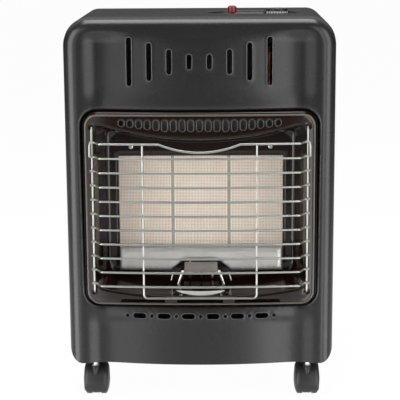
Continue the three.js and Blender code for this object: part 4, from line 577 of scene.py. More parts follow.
def flat_blank(rings, holes, columns, rows, clear):
    """A flat sheet as (points, lifts, triangles).

    rings run from the outline inwards; a hole is (loop, [(distance, lift), ...]), where the loop is
    the hole's edge and the rings round it are lifted to make its lip. Grid points fill the rest, none
    nearer than clear to a ring.
    """
    points, lifts, edges = [], [], []

    def keep(loop, lift):
        start, count = len(points), len(loop)
        points.extend(Vector(point) for point in loop)
        lifts.extend([lift] * count)
        edges.extend((start + i, start + (i + 1) % count) for i in range(count))

    for ring in rings:
        keep(ring, 0.0)
    for loop, lip in holes:
        for distance, lift in lip:
            keep(grown(loop, distance) if distance else loop, lift)
    near = KDTree(len(points))
    for i, point in enumerate(points):
        near.insert((point.x, point.y, 0), i)
    near.balance()
    outline = Region(rings[0])
    field = Region(rings[-1])
    gaps = [Region(loop) for loop, _ in holes]
    for x in columns:
        for z in rows:
            if not field.holds(x, z) or any(gap.holds(x, z) for gap in gaps):
                continue
            if near.find((x, z, 0))[2] > clear:
                points.append(Vector((x, z)))
                lifts.append(0.0)
    found, _, triangles, origins, _, _ = delaunay_2d_cdt(points, edges, [], 0, 1e-5)
    heights = [lifts[origin[0]] if origin else 0.0 for origin in origins]
    kept = []
    for triangle in triangles:
        x = sum(found[i].x for i in triangle) / 3
        z = sum(found[i].y for i in triangle) / 3
        if outline.holds(x, z) and not any(gap.holds(x, z) for gap in gaps):
            kept.append(triangle)
    return found, heights, kept


def pressed(name, blank, place):
    """A sheet whose blank is brought to its place by place(u, v, lift)."""
    found, heights, triangles = blank
    vertices = [place(point.x, point.y, lift) for point, lift in zip(found, heights)]
    return new_object(name, vertices, triangles)


def ladder(low, high, step):
    count = max(1, round((high - low) / step))
    return [low + (high - low) * i / count for i in range(count + 1)]


class Panel:
    """A pressed panel whose edge rolls back and ends flat at a depth, except along an open foot."""

    def __init__(self, half, low, high, low_corner, high_corner, roll, wall, back, relief, open_foot=False):
        self.half, self.low, self.high = half, low, high
        self.low_corner, self.high_corner = low_corner, high_corner
        self.roll, self.wall, self.back, self.relief = roll, wall, back, relief
        self.open_foot = open_foot
        self.bend = roll * math.pi / 2

    def ring(self, reach, **steps):
        """The blank's loop at a distance beyond the start of the roll."""
        inset = self.roll - reach
        return rounded_loop(
            self.half - inset, self.low + inset, self.high - inset,
            self.low_corner - inset, self.high_corner - inset, **steps)

    def reaches(self, roll_steps):
        """Distances beyond the start of the roll, from the end of the flat wall inwards."""
        over_roll = [self.bend * i / roll_steps for i in range(roll_steps, -1, -1)]
        return [self.bend + self.wall, self.bend + self.wall / 2] + over_roll

    def place(self, u, v, lift):
        """From a point of the flat blank to its place in the pressed panel."""
        corner = self.high_corner if self.open_foot or v > (self.low + self.high) / 2 else self.low_corner
        core_u = self.half - corner
        near_u = min(core_u, max(-core_u, u))
        over_foot = v if self.open_foot else max(self.low + self.low_corner, v)
        near_v = min(self.high - self.high_corner, over_foot)
        du, dv = u - near_u, v - near_v
        distance = math.hypot(du, dv)
        beyond = distance - (corner - self.roll)
        if beyond <= 1e-6 or distance == 0:
            return (u, self.relief(u, v) - lift, v)
        angle = min(beyond, self.bend) / self.roll
        reach = (corner - self.roll + self.roll * math.sin(angle)) / distance
        x, z = near_u + du * reach, near_v + dv * reach
        depth = self.relief(x, z) + self.roll * (1 - math.cos(angle))
        if beyond > self.bend:
            depth += (self.back - depth) * min(1, (beyond - self.bend) / self.wall)
        return (x, depth, z)


# ---------------------------------------------------------------- materials
def srgb(red, green, blue):
    def linear(value):
        value /= 255
        return value / 12.92 if value <= 0.04045 else ((value + 0.055) / 1.055) ** 2.4
    return (linear(red), linear(green), linear(blue), 1.0)


def worn_surface_group():
    """Colour, roughness and grain of a made surface, with mottling, worn edges and dust on top."""
    tree = bpy.data.node_groups.new("worn_surface", "ShaderNodeTree")
    for label, kind in [
        ("Colour", "Color"), ("Mottle Colour", "Color"), ("Mottle Scale", "Float"),
        ("Mottle Amount", "Float"), ("Wear Colour", "Color"), ("Wear Amount", "Float"),
        ("Dust Colour", "Color"), ("Dust Amount", "Float"), ("Roughness", "Float"),
        ("Roughness Spread", "Float"), ("Grain Scale", "Float"), ("Grain Stretch", "Vector"),
    ]:
        tree.interface.new_socket(label, in_out="INPUT", socket_type="NodeSocket" + kind)
    for label, kind in [("Colour", "Color"), ("Roughness", "Float"), ("Height", "Float")]:
        tree.interface.new_socket(label, in_out="OUTPUT", socket_type="NodeSocket" + kind)
    bench = Bench(tree)
    given = bench.node("NodeGroupInput").outputs
    result = bench.node("NodeGroupOutput").inputs
    place = bench.node("ShaderNodeTexCoord").outputs["Object"]
    facts = bench.node("ShaderNodeNewGeometry").outputs
    mottle = bench.node("ShaderNodeTexNoise", {
        "Vector": place, "Scale": given["Mottle Scale"], "Detail": 3.0})
    patches = bench.math("MULTIPLY", bench.spread(mottle, 0.35, 0.65), given["Mottle Amount"])
    colour = bench.mix(patches, given["Colour"], given["Mottle Colour"])
    edge = bench.spread(facts["Pointiness"], 0.53, 0.62)
    scuffs = bench.node("ShaderNodeTexNoise", {"Vector": place, "Scale": 140.0, "Detail": 2.0})
    scuffed = bench.math("MULTIPLY", edge, bench.spread(scuffs, 0.42, 0.62))
    worn = bench.math("MULTIPLY", scuffed, given["Wear Amount"])
    colour = bench.mix(worn, colour, given["Wear Colour"])
    upward = bench.node("ShaderNodeSeparateXYZ", {0: facts["Normal"]}).outputs[2]
    settled = bench.math("MULTIPLY", bench.spread(upward, 0.5, 1.0), bench.spread(mottle, 0.4, 0.7, 0.3, 1.0))
    dust = bench.math("MULTIPLY", settled, given["Dust Amount"])
    bench.feed(result["Colour"], bench.mix(dust, colour, given["Dust Colour"]))
    stretched = bench.vector("MULTIPLY", place, given["Grain Stretch"])
    grain = bench.node("ShaderNodeTexNoise", {
        "Vector": stretched, "Scale": given["Grain Scale"], "Detail": 4.0})
    wander = bench.math("MULTIPLY", bench.math("SUBTRACT", grain, 0.5), given["Roughness Spread"])
    patchy = bench.math("MULTIPLY", bench.math("SUBTRACT", mottle, 0.5), given["Roughness Spread"])
    rough = bench.math("ADD", given["Roughness"], bench.math("ADD", wander, patchy))
    bench.feed(result["Roughness"], bench.math("ADD", rough, bench.math("MULTIPLY", dust, 0.3)))
    bench.feed(result["Height"], grain)
    return tree


WORN_SURFACE = worn_surface_group()


def surface(name, colour, mottle, roughness, metallic=0.0, specular=0.5, coat=0.0, mottle_scale=14.0,
            wear=None, wear_amount=0.0, dust_amount=0.0, spread=0.1, grain=900.0, stretch=(1, 1, 1),
            bump=0.15, depth=0.00005):
    """A material of the worn surface group; colours are out of 255, and the grain's depth is in metres."""
    made = bpy.data.materials.new(name)
    made.use_nodes = True
    bench = Bench(made.node_tree)
    shader = made.node_tree.nodes["Principled BSDF"]
    look = bench.node("ShaderNodeGroup", {
        "Colour": srgb(*colour),
        "Mottle Colour": srgb(*mottle), "Mottle Scale": mottle_scale, "Mottle Amount": 0.5,
        "Wear Colour": srgb(*(wear or colour)), "Wear Amount": wear_amount,
        "Dust Colour": srgb(150, 146, 138), "Dust Amount": dust_amount,
        "Roughness": roughness, "Roughness Spread": spread, "Grain Scale": grain, "Grain Stretch": stretch,
    }, node_tree=WORN_SURFACE)
    height = bench.node("ShaderNodeBump", {
        "Height": look.outputs["Height"], "Strength": bump, "Distance": depth})
    for key, value in {
        "Base Color": look.outputs["Colour"], "Roughness": look.outputs["Roughness"], "Normal": height,
        "Metallic": metallic, "Specular IOR Level": specular, "Coat Weight": coat, "Coat Roughness": 0.08,
    }.items():
        bench.feed(shader.inputs[key], value)
    return made


def ceramic_material():
    """Cream ceramic whose pits darken with depth: painted shade in the pits."""
    made = surface("ceramic_plaque", (252, 240, 224), (246, 226, 208), 0.85, mottle_scale=45.0,
                   grain=2500.0, bump=0.2)
    bench = Bench(made.node_tree)
    shader = made.node_tree.nodes["Principled BSDF"]
    plain = shader.inputs["Base Color"].links[0].from_socket
    place = bench.node("ShaderNodeTexCoord").outputs["Object"]
    depth = bench.node("ShaderNodeSeparateXYZ", {0: place}).outputs[1]
    face = (PLAQUE_FACE + SHIFT_Y) * 0.001
    # Painted shade: dark brown deeper than the face, filling the pits.
    pit_shade = bench.spread(depth, face + 0.0001, face + 0.0015)
    bench.feed(shader.inputs["Base Color"], bench.mix(pit_shade, plain, srgb(84, 54, 38)))
    return made


PAINT = surface("charcoal_paint", (30, 30, 31), (33, 33, 34), 0.27, wear=(80, 80, 82), wear_amount=0.2,
                spread=0.08, grain=1500.0, bump=0.2)
# Light grey for the beads round the cover's slots and vents; its lightness is a painted highlight along their
# lips.
RIM_PAINT_HIGHLIGHT = surface("paint_on_cut_edges", (108, 107, 105), (92, 91, 90), 0.3, grain=1500.0)
HOT_STEEL = surface("heat_darkened_steel", (20, 16, 13), (30, 23, 18), 0.5, mottle_scale=40.0, spread=0.2,
                    grain=600.0)
# Grey for strips in the plaques' joints: painted shade of the recessed joints.
JOINT_SHADE = surface("ceramic_paper", (176, 170, 158), (156, 150, 138), 0.9, mottle_scale=90.0, grain=2500.0,
                     bump=0.4)
POLISHED = surface("polished_steel", (236, 235, 232), (220, 218, 214), 0.2, metallic=1.0, mottle_scale=40.0,
                   bump=0.1)
# Pale trim for the foot strip, and for the bezel's four strips, where it is a painted highlight.
TRIM_AND_GLINTS = surface("bright_trim", (214, 213, 209), (196, 195, 190), 0.35, metallic=0.25, mottle_scale=60.0)
# Light brown for the beads on the bezel, round its vents and along its ridge; its lightness is a painted
# highlight along them.
RIM_ENAMEL_HIGHLIGHT = surface("enamel_on_cut_edges", (88, 80, 73), (88, 80, 72), 0.2, coat=0.5)
DARK_STEEL = surface("dark_steel", (96, 96, 98), (70, 70, 73), 0.5, metallic=0.8, spread=0.25, grain=300.0,
                     stretch=(1, 1, 6))
ENAMEL = surface("brown_enamel", (24, 13, 8), (30, 17, 11), 0.12, specular=0.4, coat=0.12, mottle_scale=6.0,
                 wear=(70, 48, 38), wear_amount=0.2, spread=0.06, grain=260.0, bump=0.1, depth=0.0001)
CERAMIC = ceramic_material()
STAINLESS = surface("brushed_stainless", (218, 216, 212), (176, 174, 170), 0.4, metallic=0.85,
                    mottle_scale=25.0, spread=0.3, grain=700.0, stretch=(0.05, 1, 1), bump=0.25)
SHIELD_STEEL = surface("heat_tinted_stainless", (150, 146, 142), (140, 128, 116), 0.42, metallic=0.8,
                       mottle_scale=60.0, spread=0.3, grain=700.0, stretch=(0.08, 1, 1), bump=0.25)
CHROME = surface("chromed_wire", (178, 178, 173), (180, 180, 178), 0.32, metallic=1.0, mottle_scale=120.0,
                 spread=0.12, grain=1800.0, bump=0.08)
ZINC = surface("zinc_plate", (190, 192, 194), (160, 164, 166), 0.3, metallic=1.0, mottle_scale=160.0,
               spread=0.2, grain=1200.0)
BRASS = surface("brass", (190, 150, 82), (150, 112, 60), 0.28, metallic=1.0, mottle_scale=90.0, spread=0.2)
COPPER = surface("copper_pipe", (196, 120, 74), (150, 84, 52), 0.25, metallic=1.0, mottle_scale=60.0,
                 spread=0.2, grain=500.0, stretch=(1, 1, 0.2))
ALUMINIUM = surface("cast_aluminium", (188, 190, 192), (160, 162, 165), 0.42, metallic=1.0, mottle_scale=70.0,
                    spread=0.25, grain=500.0, bump=0.4, depth=0.0001)
BLACK_PLASTIC = surface("black_plastic", (26, 26, 27), (32, 32, 33), 0.38, wear=(80, 80, 80),
                        wear_amount=0.15, dust_amount=0.04, grain=2200.0, bump=0.25)
CASTER_PLASTIC = surface("grey_caster_plastic", (38, 37, 38), (45, 44, 44), 0.44, wear=(104, 102, 100),
                         wear_amount=0.3, dust_amount=0.05, grain=1600.0, bump=0.3)
RED_PLASTIC = surface("red_plastic", (124, 7, 15), (108, 5, 12), 0.2, coat=0.4, grain=1500.0, bump=0.1)
WHITE_CERAMIC = surface("white_ceramic", (232, 228, 218), (214, 205, 190), 0.3, mottle_scale=80.0,
                        grain=1500.0)
WHITE_MARKS = surface("white_marks", (226, 226, 222), (206, 206, 202), 0.5, mottle_scale=300.0)
SOFT_LEAD = surface("lead_sleeve", (38, 37, 36), (48, 46, 44), 0.6, mottle_scale=120.0, grain=2500.0,
                    bump=0.5)


# ---------------------------------------------------------------- front cover
def flute_depth(x, groove_at, rise, depth, land_at):
    """Depth of the bowed and fluted face at x."""
    across = abs(x)
    bow_end = groove_at - rise
    span = groove_at - rise / 2
    bow = -FACE_BOW + (FACE_BOW + depth) * (min(across, bow_end) / span) ** 2
    if across <= bow_end:
        return bow
    if across >= land_at:
        return 0.0
    if across >= groove_at:
        return depth * (1 - smooth((across - groove_at) / (land_at - groove_at)))
    t = (across - bow_end) / rise
    slope = 2 * (FACE_BOW + depth) * bow_end / span ** 2
    return bow * (1 - smooth(t)) + depth * smooth(t) + slope * rise * t * (1 - t) ** 2


def cover_relief(x, z):
    """Depth of the cover's face: the narrow groove beside the window, the wide one over and under it."""
    beside = smooth((z - GROOVE_FOOT) / GROOVE_BLEND) * smooth((GROOVE_HEAD - z) / GROOVE_BLEND)
    depth = flute_depth(x, *GROOVE) * beside + flute_depth(x, *WIDE_GROOVE) * (1 - beside)
    return depth * smooth((CABINET_TOP - z - HEAD_LAND) / GROOVE_BLEND)


def leaning(loop):
    """A loop that widens with height as the window does."""
    lean = (WINDOW_HALF_HIGH - WINDOW_HALF_LOW) / (WINDOW_HIGH - WINDOW_LOW)
    return [(x * (1 + lean * (z - WINDOW_LOW) / WINDOW_HALF_LOW), z) for x, z in loop]


# A lip is rings round a hole, each as (distance from its edge, lift).
SLOT_LIP = [(0, 0.0), (0.6, 0.15), (1.3, 0.15), (2.2, 0)]
WINDOW_LIP = [(0, -2.4), (0.6, -1.5), (1.6, -0.7), (2.8, -0.2), (4.2, 0)]


def slot_loops():
    """The tall slots' edges, taller away from the middle."""
    pitch, middle, width = 30.75, 543.8, 7.9
    heights = (23.4, 38, 58.2, 74.5)
    return [evened(capsule(side * (i + 0.5) * pitch, middle, width, tall), 1.6)
            for i, tall in enumerate(heights) for side in (-1, 1)]


def vent_loops():
    """The lower vents' edges, long ones with a small diamond between each two."""
    pitch, middle = 38.6, 142.6
    diamond = [(3.6, middle), (0, 147.2), (-3.6, middle), (0, 138)]
    long_vent = [(8, middle), (11.2, 138.1), (27.4, 138.1), (30.6, middle), (27.4, 147.1), (11.2, 147.1)]
    loops = []
    for i in range(-3, 4):
        loops.append(softened([(i * pitch + x, z) for x, z in diamond], 1.3))
        if i < 3:
            loops.append(evened(softened([(i * pitch + x, z) for x, z in long_vent], 1.6), 1.4))
    return loops


def cover_holes():
    window = rounded_loop(
        WINDOW_HALF_LOW, WINDOW_LOW, WINDOW_HIGH, WINDOW_CORNER, WINDOW_CORNER, across=90, up=80)
    return [(leaning(window), WINDOW_LIP)] + [(loop, SLOT_LIP) for loop in slot_loops() + vent_loops()]


def cover_rings(panel):
    """The blank's loops: rolled at the top and sides, and trimmed to a rounded corner at the foot."""
    core = panel.half - panel.roll
    reaches = panel.reaches(10)
    feet = []
    for reach in reaches:
        rise = FOOT_RISE * (1 - math.cos(min(reach, panel.bend) / panel.roll))
        feet.append((core + reach, panel.low + rise))
    base = straight((-core, panel.low), (core, panel.low), 70)
    arch_foot = panel.low + FOOT_RISE + 4
    rings = []
    for k, reach in enumerate(reaches):
        arch = [point for point in panel.ring(reach, across=70, up=86) if point[1] > arch_foot]
        first = arch.index(min((point for point in arch if point[0] > 0), key=lambda point: point[1]))
        arch = arch[first:] + arch[:first]
        right = straight(feet[k], arch[0], max(1, round((arch[0][1] - feet[k][1]) / 5)))
        left = [(-x, z) for x, z in right[::-1]]
        rings.append(arch + left + [(-x, z) for x, z in feet[k:]] + base + feet[k:][::-1] + right)
    return rings


def front_cover():
    """The cover; the blank's columns lie closest over the groove's shoulders."""
    panel = Panel(HALF_WIDTH, COVER_BOTTOM, CABINET_TOP, BOTTOM_CORNER, TOP_CORNER,
                  roll=EDGE_ROLL, wall=5, back=COVER_DEPTH, relief=cover_relief, open_foot=True)
    half_columns = ladder(0, 143, 5.5) + ladder(144.5, 155, 1.5) + ladder(157, 188.5, 2.6)
    columns = [-x for x in half_columns[:0:-1]] + half_columns
    rows = ladder(66, 568, 6) + ladder(571, 588.5, 2.5)
    blank = flat_blank(cover_rings(panel), cover_holes(), columns, rows, 1.2)
    return thicken(pressed("front_cover", blank, panel.place), SHEET, even=False)


def beads(name, loops, radius, stand, relief, material):
    """A thin rounded bead that follows each loop on a pressed face."""
    paths = [[(x, relief(x, z) - stand, z) for x, z in loop] for loop in loops]
    return rods(name, paths, radius, 0, 8, material, closed=True)


dress(front_cover(), PAINT, "cabinet", "front_cover", slot="paint", sharp_angle=40)
# Beads round the cover's slots and vents, in the light rim paint: painted highlights on the lips.
for name, loops, gap, radius, stand in (
        ("slot_rims", slot_loops(), 0.5, 0.42, 0.15), ("vent_rims", vent_loops(), 0.3, 0.4, 0.05)):
    rims = beads(name, [grown(loop, gap) for loop in loops], radius, stand, cover_relief, RIM_PAINT_HIGHLIGHT)
    dress(rims, None, "cabinet", slot="paint", sharp_angle=80)


# ---------------------------------------------------------------- cabinet wrap
def wrap_place(u, v, lift):
    """From the flat blank, u round the arch and v back from the front, to the bent wrap."""
    turn = REAR_FOLD * math.pi / 2
    back = SIDE_DEPTH - REAR_FOLD
    y, inward = v, 0.0
    if v > back:
        angle = min(v - back, turn) / REAR_FOLD
        y = back + REAR_FOLD * math.sin(angle)
        inward = REAR_FOLD * (1 - math.cos(angle)) + max(0.0, v - back - turn)
    drawn_in, run = 1.5, 2.6  # of the front edge
    inward += drawn_in * (1 - smooth((v - WRAP_FRONT) / run))
    flat, still = HALF_WIDTH - WRAP_CORNER, 164  # the taper moves nothing nearer to the middle than still
    around = abs(u) - flat
    corner = WRAP_CORNER + (WRAP_FRONT_CORNER - WRAP_CORNER) * (1 - min(1.0, v / SIDE_DEPTH))
    radius = corner - inward
    bend = WRAP_CORNER * math.pi / 2
    angle = min(max(around, 0.0), bend) / WRAP_CORNER
    x = min(abs(u), still)
    x += max(0.0, min(abs(u), flat) - still) * (HALF_WIDTH - corner - still) / (flat - still)
    shorter = (CABINET_TOP - corner - COVER_BOTTOM) / (CABINET_TOP - WRAP_CORNER - COVER_BOTTOM)
    side = max(0.0, around - bend) * shorter
    z = CABINET_TOP - corner + radius * math.cos(angle) - side
    return (math.copysign(x + radius * math.sin(angle), u), y, z + lift)


def cabinet_wrap():
    """Two sides and the top in one sheet, with a lip folded in at the rear and the controls' opening."""
    flat = HALF_WIDTH - WRAP_CORNER
    bend = WRAP_CORNER * math.pi / 2
    reach = flat + bend + CABINET_TOP - WRAP_CORNER - COVER_BOTTOM
    fold_start = SIDE_DEPTH - REAR_FOLD
    fold_end = fold_start + REAR_FOLD * math.pi / 2
    back = fold_end + REAR_LIP - REAR_FOLD
    side = ladder(flat + bend, reach, 14)
    us = [-u for u in side[::-1]] + ladder(-flat - bend, -flat, 4.2)[1:] + ladder(-flat, flat, 8)[1:]
    us += ladder(flat, flat + bend, 4.2)[1:] + side[1:]
    vs = [WRAP_FRONT, 27.6] + ladder(29.2, fold_start, 12) + ladder(fold_start, fold_end, 1)[1:] + [back]
    trim, clear = 30, 3  # radius of the lower front corners, and how far off the straight edges' points start
    corner = arc(reach - trim, vs[0] + trim, trim, -90, 0, 8)
    right = [(reach, v) for v in vs if v > vs[0] + trim + clear]
    left = [(-reach, v) for v in vs[-2::-1] if v > vs[0] + trim + clear]
    outline = [(u, vs[0]) for u in us if abs(u) < reach - trim - clear] + corner + right
    outline += [(u, back) for u in us[-2::-1]] + left + [(-u, v) for u, v in corner[::-1]]
    opening = evened(capsule(*DISH), 3)
    blank = flat_blank([outline], [(opening, [(0, -1.2), (0.7, -0.5), (1.6, -0.1), (2.6, 0)])],
                       us[1:-1], vs[1:-1], 1.5)
    return thicken(pressed("cabinet_wrap", blank, wrap_place), SHEET, even=False)


dress(cabinet_wrap(), PAINT, "cabinet", "cabinet_wrap", slot="paint", sharp_angle=40)


# ---------------------------------------------------------------- base tray
def base_tray():
    """The tray with its lower front corners cut off at a slant, inside the wrap's rounded corners."""
    source = frame["nodes"]["base_tray"]
    mesh = source.data.copy()
    mesh.transform(source.matrix_world)
    piece = bpy.data.objects.new("trimmed_base_tray", mesh)
    bpy.context.scene.collection.objects.link(piece)
    slant = [(20, 90), (20, 58), (60, 58), (60, 63.5)]  # Y and Z of what is cut away
    for side, label in ((-1, "left"), (1, "right")):
        ends = [[(side * x, y, z) for y, z in slant] for x in (190, 214)]
        block = Shape().lofted(ends).piece("slant_" + label)
        cut = piece.modifiers.new("slant", "BOOLEAN")
        cut.operation, cut.solver, cut.object = "DIFFERENCE", "EXACT", block
        settle(piece)
        bpy.data.objects.remove(block)
    return piece


dress(base_tray(), PAINT, "cabinet", "base_tray", slot="paint")


# ---------------------------------------------------------------- rear cover
def rear_cover():
    """The pan: an arch with rolled edges, cut off level with the tray and slotted with louvres."""
    panel = Panel(PAN_HALF, 0, PAN_TOP, PAN_CORNER, PAN_CORNER,
                  roll=PAN_ROLL, wall=103, back=125, relief=lambda x, z: 0.0)
    full = panel.ring(panel.bend + panel.wall, across=60, up=60)
    arch = [point for point in full if point[1] >= COVER_BOTTOM]
    left, right = sorted(sorted(arch, key=lambda point: point[1])[:2])
    start = arch.index(right)
    arch = arch[start:] + arch[:start]
    outline = [(right[0], COVER_BOTTOM)] + arch[1:-1] + [(left[0], COVER_BOTTOM)]
    outline += [(x, COVER_BOTTOM) for x in ladder(left[0], right[0], 8)[1:-1]]
    louvre_lip = [(0, -0.9), (0.8, -0.4), (1.8, 0)]
    length, width = 110, 6
    holes = [(evened(capsule(side * LOUVRE_X, LOUVRE_TOP - LOUVRE_STEP * row, length, width), 2), louvre_lip)
             for row in range(LOUVRE_ROWS) for side in (-1, 1)]
    core = PAN_HALF - PAN_ROLL
    half_columns = ladder(0, core, 7) + ladder(core, core + panel.bend, 3.2)[1:]
    half_columns += ladder(core + panel.bend, PAN_HALF + 90, 12)[1:]
    columns = [-x for x in half_columns[:0:-1]] + half_columns
    rows = ladder(70, 550, 8) + ladder(554, 700, 3.4)
    blank = flat_blank([outline], holes, columns, rows, 1.4)

    def place(u, v, lift):
        x, depth, z = panel.place(u, v, lift)
        return (-x, PAN_BACK - depth, z)
    return thicken(pressed("rear_cover_pan", blank, place), SHEET)


def rear_rim():
    """The flat rim of the rear cover, an arch with the pan's arch cut out of it."""
    steps = 30

    def arch(half, top, corner):
        loop = arc(half - corner, top - corner, corner, 0, 90, 12)
        loop += straight((half - corner, top), (corner - half, top), steps)
        loop += arc(corner - half, top - corner, corner, 90, 180, 12)
        loop += straight((-half, top - corner), (-half, COVER_BOTTOM), steps) + [(-half, COVER_BOTTOM)]
        right_leg = [(-x, z) for x, z in loop[::-1]][:steps]
        return right_leg + loop
    paths = (arch(HALF_WIDTH, CABINET_TOP - 3, WRAP_CORNER), arch(PAN_HALF, PAN_TOP, PAN_CORNER))
    count = len(paths[0])
    vertices = [(x, y, z) for y in (330.3, 331.8) for path in paths for x, z in path]
    faces = []
    for i in range(count - 1):
        a, b, c, d = i, i + 1, count + i, count + i + 1
        faces += [[a, b, d, c], [2 * count + a, 2 * count + c, 2 * count + d, 2 * count + b]]
        faces += [[a, 2 * count + a, 2 * count + b, b], [c, d, 2 * count + d, 2 * count + c]]
    for i in (0, count - 1):
        faces.append([i, count + i, 3 * count + i, 2 * count + i])
    shape = Shape()
    shape.add(vertices, faces)
    return shape.piece("rear_cover_rim")


def louvre_blades():
    """A curved blade behind each louvre slot, bent down and inwards from its upper edge."""
    section = [(-0.4, 3.4), (1.2, 3.3), (3.2, 2.4), (5.0, 0.4), (6.0, -2.6), (6.2, -5.0)]
    rings = []
    for x in ladder(-56, 56, 14):
        fade = 1 - smooth((abs(x) - 50) / 6)
        path = [(depth * (0.35 + 0.65 * fade), height) for depth, height in section]
        rings.append([(x, -depth, height) for depth, height in path]
                     + [(x, -depth + 0.9, height - 0.7) for depth, height in path[::-1]])
    blade = Shape().lofted(rings).pattern("louvre_blade")
    first = metres(-LOUVRE_X, PAN_BACK - SHEET, LOUVRE_TOP)
    return rows_of(blade, "rear_cover_louvres", PAINT, first, 2, 2 * LOUVRE_X, LOUVRE_ROWS, -LOUVRE_STEP)


dress(rear_cover(), PAINT, "rear_cover", "rear_cover", slot="paint", sharp_angle=40)
dress(rear_rim(), PAINT, "rear_cover", slot="paint")
dress(louvre_blades(), None, "rear_cover", slot="paint", sharp_angle=50)


def thumb_screw(side, label):
    """A knurled black head on a threaded shank."""
    centre = (side * 201, 332.1, 520)
    head_profile = [(0, 0), (6.2, 0), (6.6, 0.6), (6.6, 7.6), (6.0, 8.6), (4.2, 9), (0, 8.8)]
    head = Shape().turned(head_profile, "y", centre, 40).piece("thumb_screw_head_" + label)
    knurl = Shape().box((-0.55, 0.55), (0.5, 7.9), (6.2, 7.4)).pattern("knurl")
    grip = ring_of(knurl, "thumb_screw_grip_" + label, BLACK_PLASTIC, 24, centre, (0, 1, 0))
    thread = [(2.4 if i % 2 else 2.0, -8.5 + i * 0.55) for i in range(16)]
    shank_profile = [(0, -9), (1.9, -9)] + thread + [(0, 0)]
    shank = Shape().turned(shank_profile, "y", centre, 20).piece("thumb_shank_" + label)
    dress(head, BLACK_PLASTIC, "rear_cover", "thumb_screw_" + label, slot="black_plastic")
    dress(grip, None, "rear_cover", slot="black_plastic")
    dress(shank, ZINC, "rear_cover", slot="zinc")


thumb_screw(-1, "left")
thumb_screw(1, "right")


# ---------------------------------------------------------------- bezel
def bezel_relief(x, z):
    """Depth of the bezel's bowed face, the same at each height."""
    return -BEZEL_BOW * max(0.0, 1 - (x / BEZEL_HALF) ** 2)


def mouth_loop():
    """The mouth: a sagging upper lip, a lightly dished lower lip and rounded corners."""
    half, corner = MOUTH_HALF, 17
    lower_radius, upper_radius = 930, 565
    turn = half - corner

    def low(x):
        return MOUTH_LOW + x * x / (2 * lower_radius)

    def high(x):
        return MOUTH_HIGH + x * x / (2 * upper_radius)

    def bend(a, b, c, steps=9):
        return [tuple(Vector(a) * (1 - t) ** 2 + Vector(b) * 2 * t * (1 - t) + Vector(c) * t * t)
                for t in (i / steps for i in range(1, steps))]
    foot, head = (half, low(half) + corner), (half, high(half) - corner)
    right = bend((turn, low(turn)), (half, low(half)), foot) + [foot] + straight(foot, head, 40)
    right += [head] + bend(head, (half, high(half)), (turn, high(turn)))
    lower = [(x, low(x)) for x in ladder(-turn, turn, 6)]
    upper = [(x, high(x)) for x in ladder(-turn, turn, 6)[::-1]]
    return lower + right + upper + [(-x, z) for x, z in right[::-1]]


def recess_point(x, z, share):
    """A point of the mouth drawn in towards the recess's back."""
    back_half, floor_rise, roof_drop = 151, 10, 13
    low, high = MOUTH_LOW + share * floor_rise, MOUTH_HIGH - share * roof_drop
    narrower = 1 + share * (back_half / MOUTH_HALF - 1)
    return (x * narrower, low + (z - MOUTH_LOW) * (high - low) / (MOUTH_HIGH - MOUTH_LOW))


def bezel_face(mouth):
    """The bezel's bowed front with its mouth, vents, slots and guard holes."""
    corner = 23
    panel = Panel(BEZEL_HALF, BEZEL_LOW, BEZEL_HIGH, corner, corner,
                  roll=7, wall=4, back=6.4, relief=bezel_relief)
    vent_lip = [(0, -1.2), (0.5, -0.45), (1.1, -0.05), (1.7, 0)]
    holes = [(grown(mouth, MOUTH_LIP), [(0, 0.0)])]
    holes += [(vent, vent_lip) for vent in bezel_vents()]
    slot_level, slot_width, guard_hole = 166.1, 7.3, 6.4
    for left, right in ((-125.9, -55.1), (-37.3, 35.9), (52.6, 125.2)):
        slot = capsule((left + right) / 2, slot_level, right - left, slot_width)
        holes.append((evened(slot, 1.6), vent_lip))
    for x in (-GUARD_HOLE_X, GUARD_HOLE_X):
        for z in GUARD_HOLE_HEIGHTS:
            holes.append((evened(capsule(x, z, guard_hole, guard_hole), 1.5), [(0, -0.3), (0.8, 0)]))
    rings = [panel.ring(reach, corner_steps=10, across=80, up=70) for reach in panel.reaches(6)]
    blank = flat_blank(rings, holes, ladder(-174, 174, 5), ladder(166.5, 460.5, 5), 1.3)
    return pressed("bezel", blank, panel.place)


